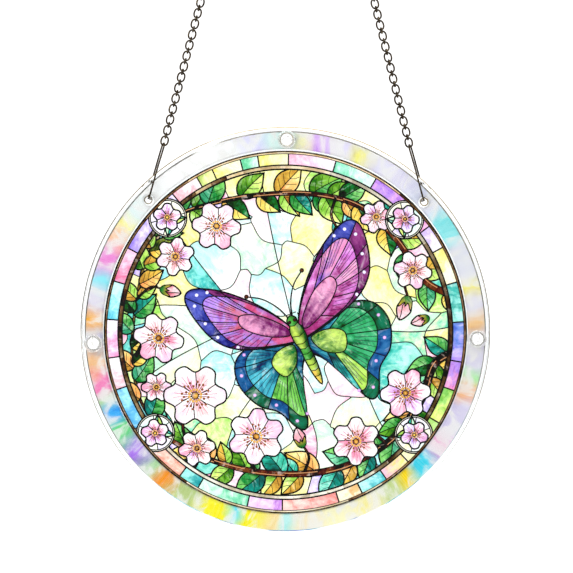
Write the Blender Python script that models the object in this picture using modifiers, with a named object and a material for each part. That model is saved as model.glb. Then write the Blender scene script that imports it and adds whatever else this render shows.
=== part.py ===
"""Round acrylic puzzle suncatcher hanging from two fine chains.

Metres, +Z up, the front looks along -Y. The origin is where a nail carries the hanging ring,
at the top of the inside of that ring. Everything hangs straight below it.
"""

from math import atan2, cos, pi, radians, sin, sqrt

import bmesh
import bpy
from mathutils import Matrix, Vector

MM = 0.001
GAP = 0.3 * MM                    # between pieces that touch

# acrylic sheets
SHEET = 2.5 * MM                  # thickness of every sheet
DISC_RADIUS = 100 * MM            # of the clear sheets
RING_MARGIN = 1.8 * MM            # how much smaller the frame ring is all round
OPENING_RADIUS = 89.5 * MM        # of the frame ring
PICTURE_RADIUS = 88.9 * MM        # of the assembled puzzle
KERF = 0.3 * MM                   # width of the laser's cut between puzzle pieces
DISC_SIDES = 48
HOLE_SIDES = 8

# plastic screws
SCREW_CIRCLE = 93.8 * MM          # distance of the screws from the centre
SCREW_ANGLES = {"top": 0, "right": 91.5, "left": -93.6}     # degrees clockwise from the top
SHANK_RADIUS = 2.5 * MM
HEAD_RADIUS = 4.3 * MM
HEAD_FLAT = 3.7 * MM              # radius of the flat top
HEAD_HEIGHT = 1.9 * MM
SLOT_WIDTH = 0.9 * MM
SLOT_DEPTH = 0.8 * MM
NUT_HEIGHT = 2.4 * MM
NUT_RADIUS = 4.6 * MM             # over the corners

# wire hooks through the rim
HOOK_HOLE_CIRCLE = 92.8 * MM
HOOK_HOLE_ANGLE = 46.3            # degrees either side of the top
HOOK_HOLE_RADIUS = 1.5 * MM       # in the clear sheets
FILM_HOLE_RADIUS = 2.6 * MM       # in the frame ring, clear of the hook's hole
HOOK_WIRE = 0.42 * MM             # radius
HOOK_LENGTH = 28.2 * MM           # from the wire in the hole to the top of the eye
HOOK_INWARD = 0.7 * MM            # how far the front leg bows towards the picture's middle
HOOK_OUTWARD = 2.1 * MM           # how far the back leg bows away from it
HOOK_EYE = 1.2 * MM               # half its width

# chains and hanging ring
LINK_WIRE = 1.0 * MM              # diameter
OVAL_LENGTH = 5.4 * MM            # outside
OVAL_WIDTH = 4.3 * MM
SMALL_LENGTH = 3.95 * MM
SMALL_WIDTH = 3.0 * MM
LINK_SIDES = 4
LINK_BITE = 0.05 * MM             # how far a link's wire reaches into its neighbour's
PITCHES = 43                      # pairs of one small and one oval link
RING_RADIUS = 6.9 * MM            # to the middle of its wire
RING_WIRE = 0.6 * MM              # radius
RING_SIDES = 14

# the puzzle's lines, in millimetres across and up from the middle of the picture
BORDER_RADIUS = 81.9              # between the tile border and the field
CORNER_ANGLES = (46, 128, 232, 314)
CORNER_DISTANCE = 80.3
CORNER_RADIUS = 9.3
BORDER_CUTS = (0.6, 86, 180.6, 274)
BUTTERFLY = dict(across=9, up=-6, turn=26)
FAR_SQUASH = 0.86                 # the far wings are foreshortened and raised a little
FAR_SHEAR = 0.05
FOREWING = ((1.4, 9), (8, 20), (18, 31), (31, 41), (44, 46), (50, 42), (49, 30), (44, 18),
            (34, 10), (17, 5), (1, 3))
HINDWING = ((1, 4), (15, 7), (30, 9), (40, 4), (43, -7), (38, -19), (29, -26), (23, -37),
            (17.5, -37), (12, -23), (6, -10), (1, -4))
BODY_SIDE = ((2.4, 14.2), (2.2, 11.4), (3.3, 8.5), (3.4, 3), (2.4, -1), (2.5, -8), (1.7, -16))
BODY_ENDS = ((0, 16), (0, -21))
FLOWERS = {                       # across, up, radius, turn
    "flower_left": (-44, -31, 15.5, 10),
    "flower_bottom": (-14, -51, 14, 35),
    "flower_far_left": (-62, -3, 12.5, 0),
    "flower_right": (59, -29, 12.5, 15),
    "flower_lower_right": (35, -53, 12, 40),
    "flower_top_left": (-34, 52, 12, 5),
}
PETALS = 6
LOWER_BRANCH = ((84, -8), (73, -15), (66, -34), (50, -54), (24, -67), (-8, -69), (-38, -62),
                (-63, -49))
UPPER_BRANCH = ((-57, 56), (-40, 62), (-16, 67), (12, 68), (36, 62), (54, 46), (68, 26), (84, 18))
FIELD_LINES = (
    ((-84, 6), (-64, 13), (-32, 12)),
    ((-14, 84), (-6, 44), (4, 3)),
    ((26, 84), (31, 64), (26, 46)),
    ((84, 4), (64, 1), (40, 2)),
    ((10, -84), (16, -54), (6, -28)),
    ((66, -70), (48, -46), (34, -14)),
    ((-32, -84), (-26, -48), (-6, -18)),
    ((-84, -34), (-56, -14), (-22, 4)),
    ((-58, 56), (-44, 36), (-22, 9)),
)
SMALLEST_PIECE = 20               # square millimetres; less is a chip that falls out

# where everything is along a chain, measured from the ring's centre
HALF_OVAL = OVAL_LENGTH / 2 - LINK_WIRE / 2
HALF_SMALL = SMALL_LENGTH / 2 - LINK_WIRE / 2
FIRST_LINK = RING_RADIUS - RING_WIRE - LINK_WIRE / 2 - GAP + HALF_OVAL
SECOND_LINK = FIRST_LINK + 2 * HALF_OVAL - LINK_WIRE
PITCH = 2 * (HALF_OVAL + HALF_SMALL - LINK_WIRE)
LAST_LINK = SECOND_LINK + PITCHES * PITCH
HOOK_TOP = LAST_LINK + HALF_OVAL - LINK_WIRE / 2 - HOOK_WIRE - GAP
HOOK_BOTTOM = HOOK_TOP + HOOK_LENGTH
HOLE_AT = HOOK_BOTTOM + HOOK_HOLE_RADIUS * cos(pi / HOLE_SIDES) - HOOK_WIRE - GAP

RING_CENTRE = Vector((0, 0, RING_WIRE - RING_RADIUS))
HOLE_ACROSS = HOOK_HOLE_CIRCLE * sin(radians(HOOK_HOLE_ANGLE))
HOLE_DROP = sqrt(HOLE_AT ** 2 - HOLE_ACROSS ** 2)
LEAN = atan2(HOLE_ACROSS, HOLE_DROP)
DISC_CENTRE = RING_CENTRE - Vector((0, 0, HOLE_DROP + HOOK_HOLE_CIRCLE * cos(radians(HOOK_HOLE_ANGLE))))
PICTURE_CENTRE = DISC_CENTRE - Vector((0, 0, OPENING_RADIUS - PICTURE_RADIUS - GAP))
LAYER = SHEET + GAP               # from one sheet's middle to the next
STACK = 3 * SHEET + 2 * GAP

MATERIALS = {                     # colour, roughness, metallic
    "clear_acrylic": ((0.93, 0.96, 0.97, 1), 0.05, 0.0),
    "iridescent_acrylic": ((0.86, 0.84, 0.90, 1), 0.12, 0.3),
    "printed_acrylic": ((0.70, 0.85, 0.75, 1), 0.25, 0.0),
    "clear_plastic": ((0.90, 0.92, 0.92, 1), 0.15, 0.0),
    "antique_bronze": ((0.20, 0.16, 0.11, 1), 0.35, 1.0),
}


def clear_scene():
    for thing in list(bpy.data.objects):
        bpy.data.objects.remove(thing, do_unlink=True)


def new_collection(name):
    collection = bpy.data.collections.new(name)
    bpy.context.scene.collection.children.link(collection)
    return collection


def make_materials():
    for name, (colour, roughness, metallic) in MATERIALS.items():
        material = bpy.data.materials.new(name)
        material.use_nodes = True
        shader = material.node_tree.nodes["Principled BSDF"]
        shader.inputs["Base Color"].default_value = colour
        shader.inputs["Roughness"].default_value = roughness
        shader.inputs["Metallic"].default_value = metallic


def add_object(name, mesh, collection, material=None):
    mesh.name = name
    thing = bpy.data.objects.new(name, mesh)
    collection.objects.link(thing)
    if material:
        mesh.materials.clear()
        mesh.materials.append(bpy.data.materials[material])
    return thing


def take_mesh(thing):
    """Mesh of an object as modified, in world space; the object itself goes."""
    bpy.context.view_layer.update()
    evaluated = thing.evaluated_get(bpy.context.evaluated_depsgraph_get())
    mesh = bpy.data.meshes.new_from_object(evaluated)
    mesh.transform(thing.matrix_world)
    bm = bmesh.new()
    bm.from_mesh(mesh)
    bmesh.ops.remove_doubles(bm, verts=bm.verts, dist=MM / 1000)
    bm.to_mesh(mesh)
    bm.free()
    bpy.data.objects.remove(thing, do_unlink=True)
    return mesh


def boolean(thing, other, operation):
    """Cuts or joins with an exact Boolean; a cutter stays in its collection as wire."""
    modifier = thing.modifiers.new(operation.lower(), "BOOLEAN")
    modifier.operation = operation
    modifier.solver = "EXACT"
    modifier.object = other


def as_cutter(thing):
    thing.display_type = "WIRE"
    thing.hide_render = True
    return thing


def on_disc(angle, distance):
    """Point on the disc's plane at an angle clockwise from the top."""
    turn = radians(angle)
    return DISC_CENTRE + Vector((distance * sin(turn), 0, distance * cos(turn)))


def round_bar(radius, length, centre, sides):
    """Cylinder along Y."""
    bpy.ops.mesh.primitive_cylinder_add(vertices=sides, radius=radius, depth=length, location=centre,
                                        rotation=(pi / 2, 0, 0))
    return take_mesh(bpy.context.object)


def make_sheets(parts, cutters):
    """Front cover, frame ring and back plate, with the screws' and hooks' holes."""
    holes = {}
    for name, angle in SCREW_ANGLES.items():
        centre = on_disc(angle, SCREW_CIRCLE)
        holes["screw_hole_" + name] = round_bar(SHANK_RADIUS + GAP, 2 * STACK, centre, HOLE_SIDES)
    film_holes = {"frame_opening": round_bar(OPENING_RADIUS, 2 * STACK, DISC_CENTRE, DISC_SIDES)}
    for name, side in (("left", -1), ("right", 1)):
        centre = on_disc(side * HOOK_HOLE_ANGLE, HOOK_HOLE_CIRCLE)
        holes["hook_hole_" + name] = round_bar(HOOK_HOLE_RADIUS, 2 * STACK, centre, HOLE_SIDES)
        film_holes["film_hole_" + name] = round_bar(FILM_HOLE_RADIUS, 2 * STACK, centre, HOLE_SIDES)
    hole_cutters = [as_cutter(add_object(name, mesh, cutters)) for name, mesh in holes.items()]
    film_cutters = [as_cutter(add_object(name, mesh, cutters)) for name, mesh in film_holes.items()]
    ring_cutters = hole_cutters[:len(SCREW_ANGLES)] + film_cutters
    layers = {                    # depth, radius, material and what is cut from it
        "front_cover": (-LAYER, DISC_RADIUS, "clear_acrylic", hole_cutters),
        "frame_ring": (0, DISC_RADIUS - RING_MARGIN, "iridescent_acrylic", ring_cutters),
        "back_plate": (LAYER, DISC_RADIUS, "clear_acrylic", hole_cutters),
    }
    for name, (depth, radius, material, sheet_cutters) in layers.items():
        mesh = round_bar(radius, SHEET, DISC_CENTRE + Vector((0, depth, 0)), DISC_SIDES)
        sheet = add_object(name, mesh, parts, material)
        for cutter in sheet_cutters:
            boolean(sheet, cutter, "DIFFERENCE")


def smooth_line(points, steps, closed):
    """Points on a Catmull-Rom curve through the given ones."""
    count = len(points)
    line = []
    for index in range(count if closed else count - 1):
        before, start, end, after = [points[(index + step) % count] for step in (-1, 0, 1, 2)]
        if not closed and index == 0:
            before = [2 * s - e for s, e in zip(start, end)]
        if not closed and index == count - 2:
            after = [2 * e - s for s, e in zip(start, end)]
        for step in range(steps):
            t = step / steps
            weights = (-t**3 + 2*t*t - t, 3*t**3 - 5*t*t + 2, -3*t**3 + 4*t*t + t, t**3 - t*t)
            corners = zip(before, start, end, after)
            line.append(tuple(sum(w * c for w, c in zip(weights, corner)) / 2 for corner in corners))
    if not closed:
        line.append(tuple(points[-1]))
    return line


def arc_points(across, up, radius, count):
    """Whole circle of points, clockwise from its top."""
    turns = [2 * pi * index / count for index in range(count)]
    return [(across + radius * sin(turn), up + radius * cos(turn)) for turn in turns]


def on_butterfly(points, far=False):
    """Points of the butterfly's own frame set down on the picture; its far side is foreshortened."""
    turn = radians(BUTTERFLY["turn"])
    placed = []
    for u, v in points:
        if far:
            u, v = -FAR_SQUASH * u, v + FAR_SHEAR * abs(u)
        placed.append((BUTTERFLY["across"] + u * cos(turn) - v * sin(turn),
                       BUTTERFLY["up"] + u * sin(turn) + v * cos(turn)))
    return placed


def flower_outline(across, up, radius, turn):
    """Six broad petals, each two shoulders between notches."""
    reach = (0.97, 0.74, 0.97)
    count = PETALS * len(reach)
    points = []
    for index in range(count):
        angle = radians(turn) + 2 * pi * index / count
        distance = radius * reach[index % len(reach)]
        points.append((across + distance * cos(angle), up + distance * sin(angle)))
    return points


def puzzle_layers():
    """Cut lines from the topmost figures down, each with a point inside the piece it frees."""
    body = BODY_ENDS[:1] + BODY_SIDE + BODY_ENDS[1:] + tuple((-u, v) for u, v in BODY_SIDE[::-1])
    layers = [{"butterfly_body": (on_butterfly(body), on_butterfly([(0, 0)])[0])}]
    for name, outline, seed in (("forewing", FOREWING, (30, 24)), ("hindwing", HINDWING, (25, -8))):
        wing = smooth_line(outline, 2, True)
        layer = {}
        for side, far in (("right", False), ("left", True)):
            inside, = on_butterfly([seed], far)
            layer["butterfly_{}_{}".format(name, side)] = (on_butterfly(wing, far), inside)
        layers.append(layer)
    corners = {}
    for name, angle in zip(("top_right", "bottom_right", "bottom_left", "top_left"), CORNER_ANGLES):
        turn = radians(angle)
        centre = (CORNER_DISTANCE * sin(turn), CORNER_DISTANCE * cos(turn))
        corners["corner_blossom_" + name] = (arc_points(*centre, CORNER_RADIUS, 12), centre)
    flowers = {name: (flower_outline(*where), where[:2]) for name, where in FLOWERS.items()}
    return layers + [corners, flowers]


def kerf_wall(name, points, closed, cutters):
    """Upright wall one kerf thick along a line, deeper than the sheet."""
    curve = bpy.data.curves.new(name, "CURVE")
    curve.dimensions = "2D"
    curve.fill_mode = "NONE"
    curve.extrude = SHEET
    spline = curve.splines.new("POLY")
    spline.points.add(len(points) - 1)
    for point, (across, up) in zip(spline.points, points):
        point.co = (across * MM, up * MM, 0, 1)
    spline.use_cyclic_u = closed
    wall = bpy.data.objects.new(name, curve)
    cutters.objects.link(wall)
    wall.location = PICTURE_CENTRE
    wall.rotation_euler = (pi / 2, 0, 0)
    thick = wall.modifiers.new("kerf", "SOLIDIFY")
    thick.thickness = KERF
    thick.offset = 0
    thick.use_even_offset = True
    return as_cutter(add_object(name, take_mesh(wall), cutters))


def loose_parts(mesh):
    """The mesh's separate bodies, each as its own mesh."""
    bm = bmesh.new()
    bm.from_mesh(mesh)
    unseen = set(bm.verts)
    bodies = []
    while unseen:
        reached = [unseen.pop()]
        for vertex in reached:
            joined = {edge.other_vert(vertex) for edge in vertex.link_edges} & unseen
            unseen -= joined
            reached.extend(joined)
        bodies.append({vertex.index for vertex in reached})
    bm.free()
    parts = []
    for body in bodies:
        bm = bmesh.new()
        bm.from_mesh(mesh)
        others = [vertex for vertex in bm.verts if vertex.index not in body]
        bmesh.ops.delete(bm, geom=others, context="VERTS")
        part = bpy.data.meshes.new("piece")
        bm.to_mesh(part)
        bm.free()
        parts.append(part)
    return parts


def cut_stock(mesh, walls, cutters):
    """Cuts a sheet along the walls and returns its pieces."""
    stock = add_object("stock", mesh, cutters)
    for wall in walls:
        boolean(stock, wall, "DIFFERENCE")
    return loose_parts(take_mesh(stock))


def covers(mesh, point):
    """Whether a sheet piece has material at a point of the picture."""
    probe = bpy.data.objects.new("probe", mesh)
    bpy.context.scene.collection.objects.link(probe)
    bpy.context.view_layer.update()
    start = PICTURE_CENTRE + Vector((point[0] * MM, -SHEET, point[1] * MM))
    hit = probe.ray_cast(start, Vector((0, 1, 0)))[0]
    bpy.data.objects.remove(probe)
    return hit


def clockwise(mesh):
    """Angle of a piece's middle about the picture's centre, from the top."""
    middle = sum((vertex.co for vertex in mesh.vertices), Vector()) / len(mesh.vertices) - PICTURE_CENTRE
    return atan2(middle.x, middle.z) % (2 * pi)


def nearest_corner(mesh):
    """Distance from the picture's centre to a piece's nearest corner."""
    return min((vertex.co - PICTURE_CENTRE).xz.length for vertex in mesh.vertices)


def is_chip(mesh):
    front = sum(face.area for face in mesh.polygons if face.normal.y < -0.5)
    return front < SMALLEST_PIECE * MM * MM


def cut_all(bodies, walls, cutters):
    """Cuts every body along the same walls; chips drop out."""
    pieces = [piece for mesh in bodies for piece in cut_stock(mesh, walls, cutters)]
    return [piece for piece in pieces if not is_chip(piece)]


def border_walls(cutters):
    walls = []
    for angle in BORDER_CUTS:
        turn = radians(angle)
        ends = (BORDER_RADIUS - 1, DISC_RADIUS / MM)
        line = [(radius * sin(turn), radius * cos(turn)) for radius in ends]
        walls.append(kerf_wall("cut_border_{:03.0f}".format(angle), line, False, cutters))
    return walls


def field_walls(cutters):
    walls = []
    for number, line in enumerate((LOWER_BRANCH, UPPER_BRANCH) + FIELD_LINES, 1):
        curve = smooth_line(line, 2, False)
        walls.append(kerf_wall("cut_field_{:02d}".format(number), curve, False, cutters))
    return walls


def make_puzzle(parts, cutters):
    """The printed disc, cut by laser into its figures, its border and its field."""
    stock = [round_bar(PICTURE_RADIUS, SHEET, PICTURE_CENTRE, DISC_SIDES)]
    for layer in puzzle_layers():
        walls = [kerf_wall("cut_" + name, line, True, cutters) for name, (line, _) in layer.items()]
        stock = cut_all(stock, walls, cutters)
        for name, (_, seed) in layer.items():
            found = next(piece for piece in stock if covers(piece, seed))
            stock.remove(found)
            add_object(name, found, parts, "printed_acrylic")
    ring_cut = kerf_wall("cut_border", arc_points(0, 0, BORDER_RADIUS, DISC_SIDES), True, cutters)
    stock = cut_all(stock, [ring_cut], cutters)
    border = [piece for piece in stock if nearest_corner(piece) > (BORDER_RADIUS - 1) * MM]
    field = [piece for piece in stock if piece not in border]
    groups = {
        "border_piece": cut_all(border, border_walls(cutters), cutters),
        "field_piece": cut_all(field, field_walls(cutters), cutters),
    }
    for name, pieces in groups.items():
        for number, piece in enumerate(sorted(pieces, key=clockwise), 1):
            add_object("{}_{:02d}".format(name, number), piece, parts, "printed_acrylic")


def turned(name, profile, place, steps, collection, material):
    """Solid of revolution about the Y axis; the profile is pairs of radius and depth."""
    mesh = bpy.data.meshes.new(name)
    bm = bmesh.new()
    corners = [bm.verts.new((radius, depth, 0)) for radius, depth in profile]
    for one, two in zip(corners, corners[1:]):
        bm.edges.new((one, two))
    bm.to_mesh(mesh)
    bm.free()
    thing = add_object(name, mesh, collection)
    thing.location = place
    screw = thing.modifiers.new("turn", "SCREW")
    screw.axis = "Y"
    screw.steps = steps
    screw.render_steps = steps
    screw.use_merge_vertices = True
    screw.merge_threshold = MM / 100
    solid = take_mesh(thing)
    bm = bmesh.new()
    bm.from_mesh(solid)
    bmesh.ops.recalc_face_normals(bm, faces=bm.faces)
    bm.to_mesh(solid)
    bm.free()
    return add_object(name, solid, collection, material)


def make_screws(parts, cutters):
    """Flat-headed screws of clear plastic, slotted, each with a hexagon nut at the back."""
    front = -STACK / 2 - GAP
    back = STACK / 2 + GAP
    top = front - HEAD_HEIGHT
    profile = (
        (0, top),
        (HEAD_FLAT, top),
        (HEAD_RADIUS, top + HEAD_RADIUS - HEAD_FLAT),
        (HEAD_RADIUS, front),
        (SHANK_RADIUS, front),
        (SHANK_RADIUS, back + NUT_HEIGHT + GAP),
        (0, back + NUT_HEIGHT + 3 * GAP),
    )
    for name, angle in SCREW_ANGLES.items():
        place = on_disc(angle, SCREW_CIRCLE)
        screw = turned("screw_" + name, profile, place, HOLE_SIDES + 2, parts, "clear_plastic")
        bpy.ops.mesh.primitive_cube_add(size=1, location=place + Vector((0, top, 0)),
                                        rotation=(0, radians(angle), 0))
        bpy.context.object.scale = (3 * HEAD_RADIUS, 2 * SLOT_DEPTH, SLOT_WIDTH)
        slot = as_cutter(add_object("slot_" + name, take_mesh(bpy.context.object), cutters))
        boolean(screw, slot, "DIFFERENCE")
        middle_of_nut = place + Vector((0, back + NUT_HEIGHT / 2, 0))
        nut = add_object("nut_" + name, round_bar(NUT_RADIUS, NUT_HEIGHT, middle_of_nut, 6), parts,
                         "clear_plastic")
        hole = round_bar(SHANK_RADIUS + 2 * GAP, 2 * NUT_HEIGHT, middle_of_nut, HOLE_SIDES)
        boolean(nut, as_cutter(add_object("nut_hole_" + name, hole, cutters)), "DIFFERENCE")


def wire_loop(name, points, radius, placing, collection, material=None):
    """Closed loop of round wire through points, set down by a matrix."""
    curve = bpy.data.curves.new(name, "CURVE")
    curve.dimensions = "3D"
    curve.bevel_depth = radius
    curve.bevel_resolution = 1
    spline = curve.splines.new("POLY")
    spline.points.add(len(points) - 1)
    for point, place in zip(spline.points, points):
        point.co = (*place, 1)
    spline.use_cyclic_u = True
    loop = bpy.data.objects.new(name, curve)
    collection.objects.link(loop)
    loop.matrix_world = placing
    return add_object(name, take_mesh(loop), collection, material)


def along_chain(side):
    """Frame with its origin in the ring's centre and -Z down one of the chains."""
    return Matrix.Translation(RING_CENTRE) @ Matrix.Rotation(-side * LEAN, 4, "Y")


def hook_path(side):
    """Long loop of wire through the rim hole: one leg before the disc, the other behind it."""
    inside = STACK / 2 + 0.5 * GAP
    legs = inside + 3 * HOOK_WIRE
    leg = (                       # shares of the front and back bow, depth and height, down from the eye
        (0.5, 0.2, 0.6 * HOOK_EYE, HOOK_LENGTH - 0.3 * HOOK_EYE),
        (1, 0.4, 0.95 * HOOK_EYE, HOOK_LENGTH - HOOK_EYE),
        (1, 0.6, 0.42 * legs, 0.8 * HOOK_LENGTH),
        (1, 0.83, 0.76 * legs, 0.6 * HOOK_LENGTH),
        (1, 1, legs, 0.38 * HOOK_LENGTH),
        (0.7, 0.8, legs, 3 * HOOK_WIRE),
        (0.1, 0.1, legs - HOOK_WIRE, 0.7 * HOOK_WIRE),
        (0, 0, inside, 0),
    )
    front = [(-side * HOOK_INWARD * bow, -depth, height) for bow, _, depth, height in leg]
    back = [(side * HOOK_OUTWARD * bow, depth, height) for _, bow, depth, height in leg[::-1]]
    outline = [(0, 0, HOOK_LENGTH), *front, *back]
    return [(across, depth, height - HOOK_BOTTOM) for across, depth, height in outline]


def link_mesh(length, width):
    """Chain link lying in XZ, its straight ends across Z; three-sided wire, sharp edge inwards."""
    half_length = length / 2 - LINK_WIRE / 2
    half_width = width / 2 - LINK_WIRE / 2
    corner = cos(pi / LINK_SIDES)
    inner = (half_length - LINK_WIRE / 2 - LINK_BITE) / corner
    outer = (half_length + 0.4 * LINK_WIRE) / corner
    bm = bmesh.new()
    section = [bm.verts.new(place) for place in
               ((inner, 0, 0), (outer, 0.45 * LINK_WIRE, 0), (outer, -0.45 * LINK_WIRE, 0))]
    edges = [bm.edges.new((section[index - 1], section[index])) for index in range(3)]
    bmesh.ops.spin(bm, geom=section + edges, cent=(0, 0, 0), axis=(0, 1, 0), angle=2 * pi, steps=LINK_SIDES,
                   use_merge=True)
    bmesh.ops.remove_doubles(bm, verts=bm.verts, dist=MM / 1000)
    bmesh.ops.recalc_face_normals(bm, faces=bm.faces)
    flat_ends = Matrix.Rotation(pi / LINK_SIDES, 4, "Y")
    narrow = Matrix.Diagonal((half_width / half_length, 1, 1, 1))
    bmesh.ops.transform(bm, matrix=narrow @ flat_ends, verts=bm.verts)
    mesh = bpy.data.meshes.new("link")
    bm.to_mesh(mesh)
    bm.free()
    return mesh


def make_chain(name, side, parts, cutters):
    """Oval links face the front and small ones stand edge-on; each bites a hair into the next."""
    oval = link_mesh(OVAL_LENGTH, OVAL_WIDTH)
    small = link_mesh(SMALL_LENGTH, SMALL_WIDTH)
    facing = [(SECOND_LINK + index * PITCH, oval) for index in range(PITCHES + 1)]
    edgewise = [(FIRST_LINK, oval)] + [(at + PITCH / 2, small) for at, _ in facing[:-1]]
    halves = []
    for turn, links in ((0, facing), (pi / 2, edgewise)):
        bm = bmesh.new()
        for at, mesh in links:
            placing = Matrix.Translation((0, 0, -at)) @ Matrix.Rotation(turn, 4, "Z")
            placed = mesh.copy()
            placed.transform(along_chain(side) @ placing)
            bm.from_mesh(placed)
        half = bpy.data.meshes.new(name)
        bm.to_mesh(half)
        bm.free()
        halves.append(half)
    chain = add_object("chain_" + name, halves[0], parts, "antique_bronze")
    others = as_cutter(add_object("edgewise_links_" + name, halves[1], cutters))
    boolean(chain, others, "UNION")


def make_hangers(parts, cutters):
    """Ring on the nail, and on either side a chain with the hook that carries the disc."""
    ring = [(RING_RADIUS * sin(turn), 0, RING_RADIUS * cos(turn)) for turn in
            (2 * pi * index / RING_SIDES for index in range(RING_SIDES))]
    wire_loop("hanging_ring", ring, RING_WIRE, Matrix.Translation(RING_CENTRE), parts, "antique_bronze")
    for name, side in (("left", -1), ("right", 1)):
        hang = along_chain(side)
        wire_loop("wire_hook_" + name, hook_path(side), HOOK_WIRE, hang, parts, "antique_bronze")
        make_chain(name, side, parts, cutters)


clear_scene()
make_materials()
parts = new_collection("suncatcher")
cutters = new_collection("cutters")
make_sheets(parts, cutters)
make_puzzle(parts, cutters)
make_screws(parts, cutters)
make_hangers(parts, cutters)
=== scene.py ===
import random
from math import atan2, cos, hypot, pi, radians, sin

import bmesh
import bpy
import numpy as np
from mathutils import Matrix, Vector
from mathutils.bvhtree import BVHTree
from mathutils.geometry import delaunay_2d_cdt, tessellate_polygon
from mathutils.kdtree import KDTree


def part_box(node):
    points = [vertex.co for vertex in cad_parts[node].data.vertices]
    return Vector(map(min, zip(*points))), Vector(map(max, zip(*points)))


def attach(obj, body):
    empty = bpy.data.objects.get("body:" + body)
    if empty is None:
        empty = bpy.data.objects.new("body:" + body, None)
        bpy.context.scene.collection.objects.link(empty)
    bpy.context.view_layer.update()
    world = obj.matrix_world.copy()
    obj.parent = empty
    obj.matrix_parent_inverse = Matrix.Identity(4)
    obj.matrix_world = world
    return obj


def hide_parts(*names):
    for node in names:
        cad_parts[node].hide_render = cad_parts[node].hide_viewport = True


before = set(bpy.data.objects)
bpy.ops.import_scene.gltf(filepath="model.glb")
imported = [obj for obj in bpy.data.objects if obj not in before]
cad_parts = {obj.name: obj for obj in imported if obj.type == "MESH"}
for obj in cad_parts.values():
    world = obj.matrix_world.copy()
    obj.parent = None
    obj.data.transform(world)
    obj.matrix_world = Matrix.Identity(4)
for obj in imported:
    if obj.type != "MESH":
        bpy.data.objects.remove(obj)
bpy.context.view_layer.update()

mm = 0.001

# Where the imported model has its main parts.
plateBox = [Vector(corner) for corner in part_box("back_plate")]
coverBox = [Vector(corner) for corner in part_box("front_cover")]
puzzleNodes = [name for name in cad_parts
               if name.startswith(("border_", "field_", "flower_", "corner_", "butterfly_"))]
puzzleLow = Vector([min(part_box(name)[0][axis] for name in puzzleNodes) for axis in range(3)])
puzzleHigh = Vector([max(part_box(name)[1][axis] for name in puzzleNodes) for axis in range(3)])
discCentre = Vector(((plateBox[0].x + plateBox[1].x) / 2, 0, (plateBox[0].z + plateBox[1].z) / 2))
pictureCentre = (puzzleLow + puzzleHigh) / 2
print("frame: disc centre", discCentre, "picture centre", pictureCentre)


def colour(hexCode):
    # sRGB hex to linear
    channels = [int(hexCode[at:at + 2], 16) / 255 for at in (1, 3, 5)]
    return tuple(c / 12.92 if c <= 0.04045 else ((c + 0.055) / 1.055) ** 2.4 for c in channels) + (1.0,)


def setInputs(tree, node, values):
    for socket, value in values.items():
        if isinstance(value, bpy.types.NodeSocket):
            tree.links.new(value, node.inputs[socket])
        else:
            node.inputs[socket].default_value = value


def addNode(tree, kind, links=None, stops=None, **settings):
    made = tree.nodes.new("ShaderNode" + kind)
    for name, value in settings.items():
        setattr(made, name, value)
    if stops:     # of a colour ramp
        while len(made.color_ramp.elements) < len(stops):
            made.color_ramp.elements.new(1)
        for element, (place, shade) in zip(made.color_ramp.elements, stops):
            element.position = place
            element.color = colour(shade)
    setInputs(tree, made, links or {})
    return made


def newMaterial(name):
    material = bpy.data.materials.new(name)
    material.use_nodes = True
    tree = material.node_tree
    return material, tree, tree.nodes["Principled BSDF"], addNode(tree, "TexCoord").outputs["Object"]


def makeMottled(name, grain, one, two, looks):
    # material that wanders a little between two tones
    material, tree, shader, place = newMaterial(name)
    wander = addNode(tree, "TexNoise", {"Vector": place, "Scale": 1 / grain, "Detail": 3}).outputs["Fac"]
    tone = addNode(tree, "Mix", {0: wander, 6: colour(one), 7: colour(two)}, data_type="RGBA").outputs[2]
    setInputs(tree, shader, {"Base Color": tone, **looks})
    return material


def solidMesh(name, verts, faces):
    # mesh with its faces turned outwards
    mesh = bpy.data.meshes.new(name)
    mesh.from_pydata(verts, [], faces)
    mesh.validate()
    work = bmesh.new()
    work.from_mesh(mesh)
    bmesh.ops.recalc_face_normals(work, faces=work.faces)
    work.to_mesh(mesh)
    work.free()
    return mesh


def lofted(rings, closed=False):
    # faces that join each ring of points to the next, and the last to the first if closed
    faces = []
    for one, two in zip(rings, rings[1:] + rings[:1] if closed else rings[1:]):
        for at in range(len(one)):
            after = (at + 1) % len(one)
            faces.append([one[at], one[after], two[after], two[at]])
    return faces


def addPiece(name, mesh, material, replaces=(), smoothTo=35, edge=None):
    mesh.name = name
    shares = [face.material_index for face in mesh.polygons]
    mesh.materials.clear()
    mesh.materials.append(material)
    if edge:
        mesh.materials.append(edge)
        mesh.polygons.foreach_set("material_index", shares)
    if smoothTo:
        mesh.shade_smooth()
        mesh.set_sharp_from_angle(angle=radians(smoothTo))
    piece = bpy.data.objects.new(name, mesh)
    bpy.context.scene.collection.objects.link(piece)
    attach(piece, "root")
    if replaces:
        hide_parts(*replaces)
    return piece


def smoothLine(points, steps, closed=False):
    # Catmull-Rom curve through the points
    count = len(points)
    line = []
    for index in range(count if closed else count - 1):
        before, start, end, after = [points[(index + step) % count] for step in (-1, 0, 1, 2)]
        if not closed and index == 0:
            before = [2 * s - e for s, e in zip(start, end)]
        if not closed and index == count - 2:
            after = [2 * e - s for s, e in zip(start, end)]
        for step in range(steps):
            t = step / steps
            weights = (-t**3 + 2*t*t - t, 3*t**3 - 5*t*t + 2, -3*t**3 + 4*t*t + t, t**3 - t*t)
            corners = zip(before, start, end, after)
            line.append(tuple(sum(w * c for w, c in zip(weights, corner)) / 2 for corner in corners))
    if not closed:
        line.append(tuple(points[-1]))
    return line


def circle(radius, count, u=0.0, v=0.0):
    # clockwise from the top
    turns = [2 * pi * index / count for index in range(count)]
    return [(u + radius * sin(turn), v + radius * cos(turn)) for turn in turns]


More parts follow.
